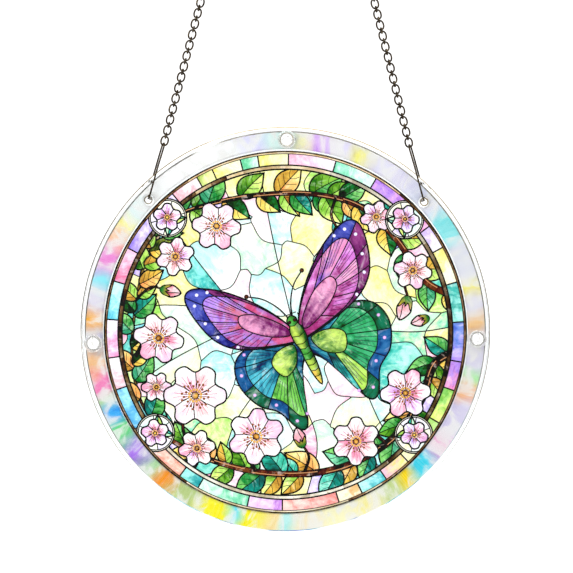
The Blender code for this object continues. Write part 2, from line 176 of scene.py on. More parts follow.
# The printed picture, in millimetres across (u) and up (v) from its middle.
picture = dict(
    lead=0.78,                 # width of the dark lines
    grain=1.5,                 # spacing of the points inside the panes
    gather=2.2,                # how far from a line its colour deepens
    inkFront=0.05 * mm,        # how far the ink stands before the acrylic
    lineFront=0.03 * mm,       # and the black line before the colour
)
# radius and side count of the circles between its bands, from the ground outwards
bands = dict(ground=(79.9, 200), inner=(81.9, 240), tiles=(87.4, 240), gold=(88.3, 256), rim=(88.9, 256))
rimRadius = bands["rim"][0]
ink = dict(lead="#0e0805", leaf="#123a1c", stamen="#6b2a10", rose="#c04f78", copper="#e0954f",
           wing="#1a0f24", feather="#3d1a4a")
shapes = []


def along(start, end):
    # local coordinate that runs from 0 to 1 between two points
    du, dv = end[0] - start[0], end[1] - start[1]
    reach = du * du + dv * dv
    return lambda u, v: (((u - start[0]) * du + (v - start[1]) * dv) / reach, 0.0)


def around(middle, radius):
    # local coordinates whose length is 1 at a radius
    return lambda u, v: ((u - middle[0]) / radius, (v - middle[1]) / radius)


def addShape(outline, paint, lead=None, cuts=(), marks=(), cloud=1.0, rays=0.0, line="lead", hole=None):
    # painter's order: later shapes lie on top of earlier ones
    shapes.append(dict(outline=outline, paint=paint, lead=picture["lead"] if lead is None else lead,
                       cuts=list(cuts), marks=list(marks), cloud=cloud, rays=rays, line=line, hole=hole))


def plain(near, far, local):
    return lambda u, v, dice: (near, far, local)


def anyOf(pairs, local):
    return lambda u, v, dice: (*dice.choice(pairs), local)


def addDot(place, radius, count, tones, reach, lead=0.0, cloud=0.0):
    addShape(circle(radius, count, *place), plain(*tones, around(place, reach)), lead=lead, cloud=cloud)


def ribbon(points, widths):
    # outline of a strip along a line
    count = len(points)
    left, right = [], []
    for index, (u, v) in enumerate(points):
        before, after = points[max(index - 1, 0)], points[min(index + 1, count - 1)]
        du, dv = after[0] - before[0], after[1] - before[1]
        length = hypot(du, dv) or 1
        t = index / (count - 1) * (len(widths) - 1)
        low = min(int(t), len(widths) - 2)
        half = (widths[low] + (widths[low + 1] - widths[low]) * (t - low)) / 2
        left.append((u - dv / length * half, v + du / length * half))
        right.append((u + dv / length * half, v - du / length * half))
    return left + right[::-1]


leafTones = dict(
    emerald=("#04502a", "#16a04a", "#9ae47c"), teal=("#047a76", "#1cccb4", "#b4f4e4"),
    lime=("#3f8c10", "#98d434", "#f0f89a"), gold=("#cc9a0c", "#f2d028", "#fef6a0"),
    olive=("#5c7010", "#b4c030", "#f2f28c"), orange=("#e08428", "#fab848", "#feec9c"),
    mint=("#3cb488", "#98e6be", "#e4fade"),
)
leafPairs = (
    ("emerald", "emerald"), ("lime", "emerald"), ("teal", "teal"), ("gold", "lime"), ("gold", "orange"),
    ("olive", "gold"), ("mint", "emerald"), ("teal", "emerald"), ("emerald", "gold"), ("lime", "lime"),
)


def addLeaf(base, heading, length, width, pair, bend=0.12, veins=3):
    # two halves of unlike greens on either side of a midrib
    turn = radians(heading)
    ahead, aside = (sin(turn), cos(turn)), (cos(turn), -sin(turn))

    def place(s, w):
        w = w + bend * length * s * s
        return tuple(b + a * s * length + c * w for b, a, c in zip(base, ahead, aside))

    def half(s):
        return width / 2 * sin(pi * s ** 0.78) ** (0.62 + 0.5 * s) if 0 < s < 1 else 0

    steps = [(1 - cos(pi * index / 15)) / 2 for index in range(16)]
    outline = [place(s, half(s)) for s in steps] + [place(s, -half(s)) for s in steps[-2:0:-1]]
    midrib = [place(s, 0) for s in (-0.02, 0.15, 0.3, 0.45, 0.6, 0.75, 0.88, 1.02)]
    marks = []
    for index in range(veins):
        s = 0.14 + 0.6 * index / veins
        for side in (-1, 1):
            marks.append(([place(s, 0), place(s + 0.1, side * 0.42 * half(s + 0.1)),
                           place(s + 0.2, side * 0.78 * half(s + 0.2))], 0.26, "leaf"))
    left, right = (leafTones[name] for name in pair)
    local = along(base, place(1, 0))

    def paint(u, v, dice):
        s = ((u - base[0]) * ahead[0] + (v - base[1]) * ahead[1]) / length
        w = (u - base[0]) * aside[0] + (v - base[1]) * aside[1] - bend * length * s * s
        return (left[0], left[1], local) if w < 0 else (right[1], right[2], local)

    addShape(outline, paint, cuts=[(midrib, 0.5)], marks=marks, cloud=0.75)


petalTones = (("#ee88b0", "#fffcfd"), ("#fffafc", "#f5aecb"), ("#f4b4cc", "#ffffff"), ("#fffdfc", "#f6e0ea"),
              ("#d89ae2", "#fdf6fe"), ("#ffffff", "#f2c8e0"), ("#f9c6cc", "#fffcfa"))


def addFlower(u, v, radius, turn, tones=petalTones, petals=6, heart=("#f2c230", "#8a3510")):
    reach = (0.97, 0.74, 0.97)
    count = petals * len(reach)
    spokes = [radians(turn) + 2 * pi * index / count for index in range(count)]

    def polar(distance, angle):
        return (u + radius * distance * cos(angle), v + radius * distance * sin(angle))

    outline = smoothLine([polar(reach[index % 3], spoke) for index, spoke in enumerate(spokes)], 5, True)
    cuts, marks, dots = [], [], []
    for index in range(petals):
        notch = spokes[3 * index + 1]
        cuts.append(([polar(0.1, notch - 0.25), polar(0.4, notch - 0.1), polar(0.85, notch)], 0.5))
        crown = notch + pi / petals
        for swing, far in ((-0.26, 0.5), (-0.1, 0.66), (0.08, 0.7), (0.24, 0.56)):
            marks.append(([polar(0.26, crown + swing * 0.8), polar(0.45, crown + swing),
                           polar(far, crown + swing * 1.25)], 0.2, "rose"))
        for swing, far in ((-0.34, 0.3), (-0.12, 0.42), (0.14, 0.36), (0.36, 0.44)):
            marks.append(([polar(0.1, crown + swing), polar(far, crown + swing)], 0.26, "stamen"))
            dots.append(polar(far, crown + swing))
    addShape(outline, anyOf(tones, around((u, v), radius)), cuts=cuts, marks=marks, cloud=0.35, rays=1.0)
    for index in range(2 * petals):      # pollen round the heart
        place = polar(0.19, pi * (index + 0.4) / petals)
        addDot(place, 0.05 * radius, 6, ("#f8d048", "#c07818"), 1)
    addDot((u, v), 0.11 * radius, 12, heart, 0.15 * radius, lead=0.3, cloud=0.9)
    for place in dots:
        addDot(place, 0.042 * radius, 7, ("#c8701c", "#4a1d08"), 0.7)


def addBud(base, heading, length, tones=("#e2587e", "#fde3e6")):
    turn = radians(heading)
    ahead, aside = (sin(turn), cos(turn)), (cos(turn), -sin(turn))

    def place(s, w):
        return tuple(b + length * (a * s + c * w) for b, a, c in zip(base, ahead, aside))

    drop = smoothLine([place(*at) for at in ((0.1, 0), (0.3, 0.24), (0.62, 0.28), (1, 0.02), (0.62, -0.28),
                                             (0.3, -0.24))], 4, True)
    fold = [place(0.1, 0), place(0.4, 0.1), place(0.7, 0.04), place(1.02, 0.02)]
    addShape(drop, plain(*tones, along(base, place(1, 0))), cuts=[(fold, 0.45)], cloud=0.8)
    cup = smoothLine([place(*at) for at in ((-0.05, 0), (0.12, 0.22), (0.5, 0.26), (0.24, 0.06), (0.42, 0),
                                            (0.24, -0.08), (0.5, -0.27), (0.12, -0.22))], 3, True)
    addShape(cup, plain("#1f8a3c", "#e6c238", along(base, place(0.5, 0))), lead=0.5, cloud=0.4)


def addTwig(points, widths, tones=("#24130b", "#8a4a22"), marked=False):
    line = smoothLine(points, 8)
    marks = []
    if marked:     # lit stretches of bark on both sides
        for share, start in ((0.42, 2), (-0.3, 7)):
            edge = ribbon(line, [abs(share) * w for w in widths])
            edge = edge[:len(line)] if share > 0 else edge[len(line):][::-1]
            marks += [(edge[at:at + 5], 0.34, "copper") for at in range(start, len(line) - 6, 9)]
    paint = plain(*tones, along(points[0], points[-1]))
    addShape(ribbon(line, widths), paint, lead=0.5, marks=marks)


# Branches and seams run where the puzzle is cut.
lowerBranch = ((84, -8), (73, -15), (66, -34), (50, -54), (24, -67), (-8, -69), (-38, -62), (-63, -49))
upperBranch = ((-57, 56), (-40, 62), (-16, 67), (12, 68), (36, 62), (54, 46), (68, 26), (84, 18))
borderSeams = (0.6, 86, 180.6, 274)     # degrees clockwise from the top
fieldLines = (
    ((-84, 6), (-64, 13), (-32, 12)), ((-14, 84), (-6, 44), (4, 3)), ((26, 84), (31, 64), (26, 46)),
    ((84, 4), (64, 1), (40, 2)), ((10, -84), (16, -54), (6, -28)), ((66, -70), (48, -46), (34, -14)),
    ((-32, -84), (-26, -48), (-6, -18)), ((-84, -34), (-56, -14), (-22, 4)), ((-58, 56), (-44, 36), (-22, 9)),
)


def groundPanes(spacing=21.0, scatter=6.5, farthest=88, longest=60, clearance=4):
    # cells round scattered seeds, with well bowed walls
    dice = random.Random(4)
    seeds = []
    for row in range(-5, 6):
        for step in range(-5, 6):
            u, v = (step + 0.5 * (row % 2)) * spacing, row * spacing * 0.87
            seeds.append(Vector((u + dice.uniform(-scatter, scatter), v + dice.uniform(-scatter, scatter))))
    spots, _, triangles, *_ = delaunay_2d_cdt(seeds, [], [], 0, 1e-4, True)
    middles, meeting = [], {}
    for number, (a, b, c) in enumerate(triangles):
        (ax, ay), (bx, by), (cx, cy) = spots[a], spots[b], spots[c]
        d = 2 * (ax * (by - cy) + bx * (cy - ay) + cx * (ay - by))
        aa, bb, cc = ax * ax + ay * ay, bx * bx + by * by, cx * cx + cy * cy
        middles.append(((aa * (by - cy) + bb * (cy - ay) + cc * (ay - by)) / d,
                        (aa * (cx - bx) + bb * (ax - cx) + cc * (bx - ax)) / d))
        for pair in ((a, b), (b, c), (c, a)):
            meeting.setdefault(tuple(sorted(pair)), []).append(number)
    ruled = [point for line in fieldLines for point in smoothLine(line, 12)]
    walls = []
    for pair, ends in sorted(meeting.items()):
        if len(ends) != 2:
            continue
        (u1, v1), (u2, v2) = middles[ends[0]], middles[ends[1]]
        length = hypot(u2 - u1, v2 - v1)
        if hypot((u1 + u2) / 2, (v1 + v2) / 2) > farthest or length > longest:
            continue
        bow = dice.choice((-1, 1)) * dice.uniform(0.12, 0.26)
        middle = ((u1 + u2) / 2 - (v2 - v1) * bow, (v1 + v2) / 2 + (u2 - u1) * bow)
        wall = ((u1, v1), middle, (u2, v2))
        near = sum(min(hypot(u - pu, v - pv) for pu, pv in ruled) < clearance for u, v in wall)
        if near < 2:   # walls that only shadow a seam are left out
            walls.append(smoothLine(wall, 7))
    return walls


innerGround = 58     # about how far from the middle the paler tones reach
groundTones = dict(
    inner=(("#f9f6c6", "#fffef6"), ("#d0f2da", "#fdfdf0"), ("#a4ece6", "#f6fcf6"), ("#f5f2b0", "#ecf8e4"),
           ("#fdfefc", "#c8f2ee"), ("#e6f4b8", "#fdfdf4"), ("#b8eef2", "#fafdf8"), ("#fbdce8", "#fefaf8"),
           ("#fbf8d0", "#e2f8ec")),
    outer=(("#32d2c4", "#bcf4e8"), ("#62e0bc", "#f0fbd4"), ("#18c4be", "#96ece2"), ("#b4e86a", "#f6fabc"),
           ("#bca6f6", "#f4e8fc"), ("#fab4d4", "#fff4f2"), ("#5cd6e6", "#dcfaf6"), ("#f4ec94", "#fdfad4")),
)


def paintGround(u, v, dice):
    tones = groundTones["outer" if hypot(u, v) + dice.uniform(-12, 12) > innerGround else "inner"]
    turn = dice.uniform(0, 2 * pi)
    reach = dice.uniform(9, 15)
    near, far = dice.choice(tones)
    du, dv = reach * cos(turn), reach * sin(turn)
    return near, far, along((u - du, v - dv), (u + du, v + dv))


groundCuts = [(smoothLine(line, 6), 0.55) for line in fieldLines] + [(line, 0.5) for line in groundPanes()]
addShape(circle(*bands["ground"]), paintGround, cuts=groundCuts)

# The wreath: branches, leaves, buds and flowers.
leftVine = ((-60, -50), (-71, -33), (-75, -10), (-73, 14), (-68, 36), (-57, 55))
addTwig(leftVine, (1.4, 1.1, 1.1, 1.4), ("#5a3a1c", "#b99a44"))
dice = random.Random(11)
wreath = (
    # vine, spacing, leaf lengths, how far from its start
    (lowerBranch, 8.8, (14, 19), 4),
    (upperBranch, 8.4, (13, 18), 4),
    (leftVine, 8.6, (13, 17), 3),
)
for vine, spacing, lengths, inset in wreath:
    line = smoothLine(vine, 12)
    travelled, nextLeaf, side = 0.0, inset, 1
    for (u1, v1), (u2, v2) in zip(line, line[1:]):
        step = hypot(u2 - u1, v2 - v1)
        travelled += step
        if travelled < nextLeaf:
            continue
        nextLeaf += spacing * dice.uniform(0.8, 1.15)
        side = -side
        tangent = atan2(u2 - u1, v2 - v1) * 180 / pi
        heading = tangent + side * dice.uniform(38, 62)
        length = dice.uniform(*lengths)
        addLeaf((u1, v1), heading, length, length * dice.uniform(0.6, 0.74), dice.choice(leafPairs),
                bend=-side * dice.uniform(0.05, 0.16))
        if dice.random() < 0.45:
            heading = tangent - side * dice.uniform(40, 70)
            addLeaf((u2, v2), heading, length * 0.8, length * 0.5, dice.choice(leafPairs),
                    bend=side * dice.uniform(0.05, 0.16), veins=2)
addTwig(lowerBranch, (4.0, 3.6, 3.2, 2.7, 1.9), marked=True)
addTwig(upperBranch, (1.5, 2.0, 2.4, 2.9, 3.4), marked=True)
for points, widths in (
    (((-14, -68), (-18, -60), (-14, -51)), (1.5, 1.0)), (((50, -54), (44, -50), (36, -53)), (1.6, 1.0)),
    (((68, -28), (64, -24), (58, -29)), (1.5, 1.0)), (((-44, -60), (-50, -46), (-44, -31)), (1.5, 0.9)),
    (((-73, -12), (-70, -6), (-62, -3)), (1.2, 0.8)), (((-40, 62), (-36, 58), (-34, 52)), (1.4, 0.9)),
    (((62, 34), (58, 26), (60, 17)), (1.3, 0.8)), (((24, 66), (22, 58), (25, 51)), (1.2, 0.7)),
    (((10, -68), (12, -61), (9, -55)), (1.2, 0.7)), (((-73, 16), (-66, 22), (-60, 21)), (0.9, 0.6)),
):
    addTwig(points, widths)
for u, v, heading, length in ((60, 18, 200, 12), (25, 52, 170, 10), (9, -56, 340, 10), (-61, 21, 100, 10),
                              (-66, -30, 60, 9), (70, 8, 250, 9)):
    addBud((u, v), heading, length)
flowers = (
    # across, up, radius and turn: five that belong to field pieces, then the six with a piece of their own
    (-43, -57, 9.2, 20), (-54, 37, 9.5, 30), (62, 31, 9.5, 0), (-63, -27, 7.5, 12), (44, 57, 8.0, 24),
    (-44, -31, 15.5, 10), (-14, -51, 14, 35), (-62, -3, 12.5, 0), (59, -29, 12.5, 15), (35, -53, 12, 40),
    (-34, 52, 12, 5),
)
for place in flowers:
    addFlower(*place)

# The butterfly, in its own frame with the head upwards.
butterfly = dict(across=9, up=-6, turn=26, farSquash=0.86, farShear=0.05)
forewing = ((1.4, 9), (8, 20), (18, 31), (31, 41), (44, 46), (50, 42), (49, 30), (44, 18), (34, 10), (17, 5),
            (1, 3))
hindwing = ((1, 4), (15, 7), (30, 9), (40, 4), (43, -7), (38, -19), (29, -26), (23, -37), (17.5, -37),
            (12, -23), (6, -10), (1, -4))
bodySide = ((2.4, 14.2), (2.2, 11.4), (3.3, 8.5), (3.4, 3), (2.4, -1), (2.5, -8), (1.7, -16))
wingVeins = dict(
    fore=(((5, 12), (16, 22), (26, 25), (27, 19), (17, 11), (5, 7)),
          (((16, 22), (33, 45)), ((21, 25), (42, 50)), ((26, 25), (53, 47)), ((27, 22), (54, 34)),
           ((27, 19), (52, 23)), ((23, 15), (43, 12)), ((14, 9.5), (26, 4)))),
    hind=(((5, 2), (15, 2), (21, -3), (17, -11), (8, -7)),
          (((15, 2), (32, 13)), ((20, 0), (45, 3)), ((21, -4), (47, -12)), ((19, -8), (38, -26)),
           ((16, -11), (26, -32)), ((12, -9), (17, -40)), ((9, -7), (8, -22)))),
)


def onButterfly(points, far=False):
    turn = radians(butterfly["turn"])
    placed = []
    for u, v in points:
        if far:
            u, v = -butterfly["farSquash"] * u, v + butterfly["farShear"] * abs(u)
        placed.append((butterfly["across"] + u * cos(turn) - v * sin(turn),
                       butterfly["up"] + u * sin(turn) + v * cos(turn)))
    return placed


def addWing(outline, root, veins, far, tones):
    cell, rays = veins
    smooth = smoothLine(outline, 8, True)
    inner = [(root[0] + 0.84 * (u - root[0]), root[1] + 0.84 * (v - root[1])) for u, v in smooth]
    middle, = onButterfly([root], far)
    rayCuts = []
    for start, end in rays:
        bend = ((start[0] + end[0]) / 2 + 0.6, (start[1] + end[1]) / 2 - 0.6)
        rayCuts.append((onButterfly(smoothLine((start, bend, end), 5), far), 0.55))
    streaks = []    # fine lines between the veins, drawn only
    for (one, oneEnd), (two, twoEnd) in zip(rays, rays[1:]):
        for share in (0.3, 0.52, 0.74):
            start = [a + (b - a) * share for a, b in zip(one, two)]
            end = [a + (b - a) * share for a, b in zip(oneEnd, twoEnd)]
            run = [[s + (e - s) * t for s, e in zip(start, end)] for t in (0.16, 0.35, 0.55, 0.72)]
            streaks.append((onButterfly(run, far), 0.24, "feather"))
    reach = max(hypot(u, v) for u, v in outline)
    margin = anyOf(tones["margin"], around(middle, reach))
    cells = anyOf(tones["cells"], around(middle, 0.8 * reach))
    heart = plain(*tones["heart"], around(middle, 0.55 * reach))
    addShape(onButterfly(smooth, far), margin, lead=0.8, cuts=rayCuts, cloud=0.7, line="wing")
    addShape(onButterfly(inner, far), cells, lead=0.55, cuts=rayCuts, marks=streaks, cloud=0.7, rays=0.8,
             line="wing")
    addShape(onButterfly(smoothLine(cell, 6, True), far), heart, lead=0.6, cloud=0.7, rays=0.6, line="wing")
    for _, (eu, ev) in rays[:-1]:
        # a pale spot in the margin beside each vein
        best = min(range(len(smooth)), key=lambda at: hypot(smooth[at][0] - eu, smooth[at][1] - ev))
        u, v = smooth[(best + 3) % len(smooth)]
        place, = onButterfly([(root[0] + 0.92 * (u - root[0]), root[1] + 0.92 * (v - root[1]))], far)
        addDot(place, 0.85, 10, tones["spots"], 1.2)


foreTones = dict(
    margin=(("#3a1048", "#8a2f86"), ("#4a1656", "#a0408c"), ("#221a66", "#4a56c4")),
    cells=(("#b32f86", "#e79ae6"), ("#a347b8", "#f2b4d8"), ("#d8508e", "#b49af0"), ("#7f54cc", "#efa6d2"),
           ("#e2707a", "#c79af0")),
    heart=("#8a2a78", "#f0a6cf"), spots=("#ffffff", "#dcd0ff"),
)
hindTones = dict(
    margin=(("#043a2a", "#0c7a58"), ("#0a2460", "#1a6fae")),
    cells=(("#04613a", "#3fc486"), ("#0a7a44", "#8ad858"), ("#067a78", "#3fd0cc"), ("#0f8a4a", "#c6e860"),
           ("#0a5a86", "#48c8d8")),
    heart=("#0a7a3c", "#d4ec6a"), spots=("#f3c8f0", "#b070d8"),
)
for far in (True, False):
    addWing(hindwing, (1, 0), wingVeins["hind"], far, hindTones)
for far in (True, False):
    addWing(forewing, (1, 6), wingVeins["fore"], far, foreTones)
bodyLine = [(0, 16)] + list(bodySide) + [(0, -21)] + [(-u, v) for u, v in bodySide[::-1]]
bodyCuts = [(onButterfly([(-4, v + 0.8), (0, v - 0.6), (4, v + 0.8)]), 0.4)
            for v in (11.2, 5.5, 1.5, -1.2, -4, -7, -10, -13, -16)]


bodyTones = (("#c8e04a", "#066a3a"), ("#5cc04a", "#04502e"), ("#f0d440", "#128a3c"))
flank, front, root = [Vector(spot) for spot in onButterfly([(-1.2, 0), (0, 10), (0, 0)])]
axis = front - root
paintBody = anyOf(bodyTones, along(flank, flank + Vector((axis.y, -axis.x)).normalized() * 4.2))
feelerLine = ((0.8, 14.5), (3.5, 22), (8.5, 29), (15, 33.5))
for side in (-1, 1):
    feeler = onButterfly(smoothLine([(side * u, v) for u, v in feelerLine], 6))
    addShape(ribbon(feeler, (0.9, 0.7, 0.7)), plain("#1d120b", "#2a1a10", around(feeler[0], 30)), lead=0.0,
             cloud=0.0)
    addDot(feeler[-1], 1.0, 12, ("#7a4a24", "#2a1f18"), 1.3, lead=0.3)
addShape(onButterfly(smoothLine(bodyLine, 3, True)), paintBody, lead=0.7, cuts=bodyCuts, cloud=0.6)
for side in (-1, 1):
    eye, = onButterfly([(side * 1.35, 13.1)])
    addDot(eye, 0.75, 10, ("#6a3a20", "#1c1410"), 1.0, lead=0.25)

# The border: gold bands, tiles and corner blossoms.
tiles = (
    # clockwise from the top: where each starts, and its two tones
    (0.6, "#f5bad6", "#fdf0f7"), (16, "#96e6c8", "#e6fbf0"), (30, "#be8deb", "#f5bee1"),
    (53, "#d4bcf5", "#fcf5fd"), (61, "#f5eb8d", "#fefce4"), (73, "#3ac1b7", "#aeeee6"),
    (86, "#6690e4", "#cab2f5"), (99, "#ba8be8", "#f5aeda"), (108.5, "#90d660", "#e9f58d"),
    (120, "#bee483", "#f7f9c8"), (136, "#f5e483", "#fcccda"), (145, "#47ccd6", "#c5f4f0"),
    (154, "#ebc17c", "#fdf2d8"), (162, "#f2a7a2", "#fdd6cd"), (180.6, "#d394e6", "#f5d8fb"),
    (192, "#76dbb0", "#e1faeb"), (209, "#36c1c5", "#a9ede6"), (216, "#f7b29d", "#fef2eb"),
    (237, "#52bae8", "#a5e8fb"), (251, "#f4c5d1", "#fefbfb"), (261.5, "#f5b0d8", "#fef5fc"),
    (274, "#71d8e8", "#caf7f4"), (286.5, "#f291ba", "#fcd8e8"), (298, "#b096f0", "#f1e6fd"),
    (320.6, "#f5a9ba", "#fef2f2"), (330, "#c5d871", "#f2f5ac"), (335.5, "#f7ee9b", "#fefce4"),
    (345, "#84e1b7", "#e8fcf0"), (350.7, "#f5ed86", "#fefbcf"),
)


def spoke(angle, inner, outer):
    turn = radians(angle)
    return [(inner * sin(turn), inner * cos(turn)), (outer * sin(turn), outer * cos(turn))]


def paintTile(u, v, dice):
    angle = (atan2(u, v) * 180 / pi) % 360
    start, near, far = [tile for tile in tiles if tile[0] <= angle][-1] if angle >= tiles[0][0] else tiles[-1]
    following = next((tile[0] for tile in tiles if tile[0] > start), 360 + tiles[0][0])
    middle = (bands["inner"][0] + bands["tiles"][0]) / 2
    a, b = [(middle * sin(radians(at)), middle * cos(radians(at))) for at in (start, following)]
    return near, far, along(a, b)


bandTones = dict(
    # clockwise from the top: the two tones of each band from there on
    inner=(
        (0, "#cdb284", "#f0e0c0"), (24, "#b0a48e", "#e4dccc"), (58, "#6a5238", "#b29a7a"),
        (80, "#3a2616", "#7c5e42"), (112, "#5c442c", "#a68a66"), (146, "#c8bca0", "#f8f4ea"),
        (200, "#d0c6ae", "#fbf8f0"), (232, "#6a5032", "#b89c70"), (258, "#3a2616", "#84603e"),
        (292, "#4c3622", "#94724e"), (330, "#c4a878", "#ecd8b0"),
    ),
    gold=((0, "#dcbc88", "#f8e6c4"), (30, "#7c5c3c", "#b8946a"), (150, "#dccca8", "#f8f0dc"),
          (215, "#7c5c3c", "#b8946a"), (330, "#dcbc88", "#f8e6c4")),
    rim=((0, "#5a4222", "#866838"), (28, "#2a1c10", "#4a3622"), (150, "#6a583a", "#a08a60"),
         (215, "#2a1c10", "#4a3622"), (335, "#5a4222", "#866838")),
)


def bandPaint(name):
    def paint(u, v, dice):
        angle = (atan2(u, v) * 180 / pi + dice.uniform(-8, 8)) % 360
        _, near, far = [tone for tone in bandTones[name] if tone[0] <= angle][-1]
        return near, far, around((u + dice.uniform(-9, 9), v + dice.uniform(-9, 9)), 14)

    return paint


def addBand(name, hole, lead, paint=None, cuts=None, cloud=0.6):
    if cuts is None:     # these draw no line, they only part the washes of colour
        cuts = [(spoke(3 + 6 * index, 70, 90), 0.0) for index in range(60)]
    addShape(circle(*bands[name]), paint or bandPaint(name), lead=lead, cuts=cuts, cloud=cloud,
             hole=circle(*bands[hole]))


addBand("inner", "ground", 0.8)
addBand("tiles", "inner", 0.7, paintTile, [(spoke(tile[0], 79, 89), 0.7) for tile in tiles], 1.0)
blossoms = dict(angles=(46, 128, 232, 314), distance=80.3, disc=9.3, cup=8.5, radius=6.9)
cupTones = (("#b8ece0", "#f6fdf8"), ("#f6f2b8", "#fefef4"), ("#d8c8f6", "#fbf8fe"))
blossomTones = (("#d79ae8", "#fdf2fd"), ("#c4a2f2", "#fdf8fe"), ("#f0a0cc", "#fef2f8"),
                ("#fdf4fa", "#eab4de"))
for angle in blossoms["angles"]:
    turn = radians(angle)
    out = (sin(turn), cos(turn))
    u, v = blossoms["distance"] * out[0], blossoms["distance"] * out[1]
    addDot((u, v), blossoms["disc"], 48, ("#e6d8ba", "#fbf6ea"), blossoms["disc"], lead=0.7, cloud=0.6)
    cup, turns = blossoms["cup"], [pi * at / 3 + turn for at in range(6)]
    rays = [([(u, v), (u + cup * sin(at), v + cup * cos(at))], 0.5) for at in turns]
    addShape(circle(cup, 40, u, v), anyOf(cupTones, around((u, v), 9)), lead=0.55, cuts=rays, cloud=0.9)
    for side in (-1, 1):
        addLeaf((u - 1.5 * out[0], v - 1.5 * out[1]), angle + 180 + side * 48, 8.0, 4.0,
                ("teal", "mint") if side > 0 else ("mint", "lime"), bend=0.1 * side, veins=1)
    addFlower(u + 0.4 * out[0], v + 0.4 * out[1], blossoms["radius"], 90 - angle + 36, blossomTones, 5,
              ("#f8dc50", "#b0701c"))
addBand("gold", "tiles", 0.4)
addBand("rim", "gold", 0.3)
print("picture:", len(shapes), "shapes")


# From overlapping shapes to panes.
def inside(outline, spots):
    # which of the spots a closed outline surrounds
    hit = np.zeros(len(spots), bool)
    u, v = spots[:, 0], spots[:, 1]
    for (u1, v1), (u2, v2) in zip(outline, outline[1:] + outline[:1]):
        if v1 != v2:
            hit ^= ((v1 > v) != (v2 > v)) & (u < u1 + (v - v1) * (u2 - u1) / (v2 - v1))
    return hit


def arrange(seams):
    points, edges, tags = [], [], []

    def addLine(line, closed, tag):
        start, count = len(points), len(line)
        points.extend(Vector(point) for point in line)
        for at in range(count if closed else count - 1):
            edges.append((start + at, start + (at + 1) % count))
            tags.append(tag)

    for number, shape in enumerate(shapes):
        addLine(shape["outline"], True, None)
        if shape["hole"]:
            addLine(shape["hole"], True, None)
        for line, width in shape["cuts"]:
            addLine(line, False, (number, "cut", width, shape["line"]))
        for line, width, shade in shape["marks"]:
            addLine(line, False, (number, "mark", width, shade))
    for line, closed in seams:
        addLine(line, closed, None)
    spacing = picture["grain"]
    rows = int(rimRadius / (spacing * 0.866))
    for row in range(-rows, rows + 1):
        v = row * spacing * 0.866
        for step in range(-rows - 2, rows + 3):
            u = (step + 0.5 * (row % 2)) * spacing
            if hypot(u, v) < rimRadius - 1:
                points.append(Vector((u, v)))
    spots, lines, faces, _, origins, _ = delaunay_2d_cdt(points, edges, [], 0, 1e-4, True)
    spots = np.array([tuple(spot) for spot in spots])
    faces = np.array([tuple(face) for face in faces])
    centres = spots[faces].mean(axis=1)
    top = np.full(len(faces), -1)
    for number in range(len(shapes) - 1, -1, -1):
        shape = shapes[number]
        box = np.array(shape["outline"])
        within = (centres >= box.min(axis=0)).all(axis=1) & (centres <= box.max(axis=0)).all(axis=1)
        near = np.nonzero((top < 0) & within)[0]
        if len(near):
            hit = inside(shape["outline"], centres[near])
            if shape["hole"]:
                hit &= ~inside(shape["hole"], centres[near])
            top[near[hit]] = number
    top[np.hypot(centres[:, 0], centres[:, 1]) > rimRadius] = -1
    sides = {}
    for index, face in enumerate(faces):
        if top[index] >= 0:
            for one, two in zip(face, np.roll(face, -1)):
                sides.setdefault((min(one, two), max(one, two)), {})[(one, two)] = index
    origin = {}
    for (one, two), tagged in zip(lines, origins):
        found = [tags[at] for at in tagged if at < len(tags) and tags[at]]
        if found:
            origin[(min(one, two), max(one, two))] = found
    root = list(range(len(faces)))

    def find(at):
        while root[at] != at:
            root[at] = root[root[at]]
            at = root[at]
        return at

    leads = []      # one, two, width, ink, face on the left, face on the right
    for key, halves in sides.items():
        one, two = key
        left, right = halves.get((one, two)), halves.get((two, one))
        if left is None or right is None:
            face = right if left is None else left
            leads.append((one, two, shapes[top[face]]["lead"], shapes[top[face]]["line"], left, right))
            continue
        if top[left] != top[right]:
            shape = shapes[max(top[left], top[right])]
            if shape["lead"]:
                leads.append((one, two, shape["lead"], shape["line"], left, right))
            continue
        own = [tag for tag in origin.get(key, ()) if tag[0] == top[left]]
        if not any(tag[1] == "cut" for tag in own):
            root[find(left)] = find(right)
        if own:
            widest = max(own, key=lambda tag: tag[2])
            if widest[2]:
                leads.append((one, two, widest[2], widest[3], left, right))
    panes = np.array([find(at) for at in range(len(faces))])
    return spots, faces, top, panes, leads


def cornerPoints(spots, leads):
    # where the edge of a line's ink lies at each of its ends, on each side
    fans = {}
    for index, (one, two, width, *_) in enumerate(leads):
        for here, there in ((one, two), (two, one)):
            step = spots[there] - spots[here]
            fans.setdefault(here, []).append((atan2(step[1], step[0]), index, width / 2))
    found = {}
    for here, fan in fans.items():
        fan.sort()
        for at, (angle, index, half) in enumerate(fan):
            angle2, index2, half2 = fan[(at + 1) % len(fan)]
            theta = (angle2 - angle) % (2 * pi) or 2 * pi
            ahead = np.array((cos(angle), sin(angle)))
            after = np.array((cos(angle2), sin(angle2)))
            if abs(sin(theta)) < 0.12 or len(fan) == 1:
                first = np.array((-ahead[1], ahead[0])) * half
                second = np.array((after[1], -after[0])) * half2
                if theta < 1:
                    first = second = ahead * 3 * half
            else:
                first = (half2 * ahead + half * after) / sin(theta)
                limit = (3 if theta < pi else 1.5) * max(half, half2)
                reach = hypot(*first)
                if reach > limit:
                    first = first * limit / reach
                second = first
            found[(index, here, "left")] = spots[here] + first
            found[(index2, here, "right")] = spots[here] + second
    return found


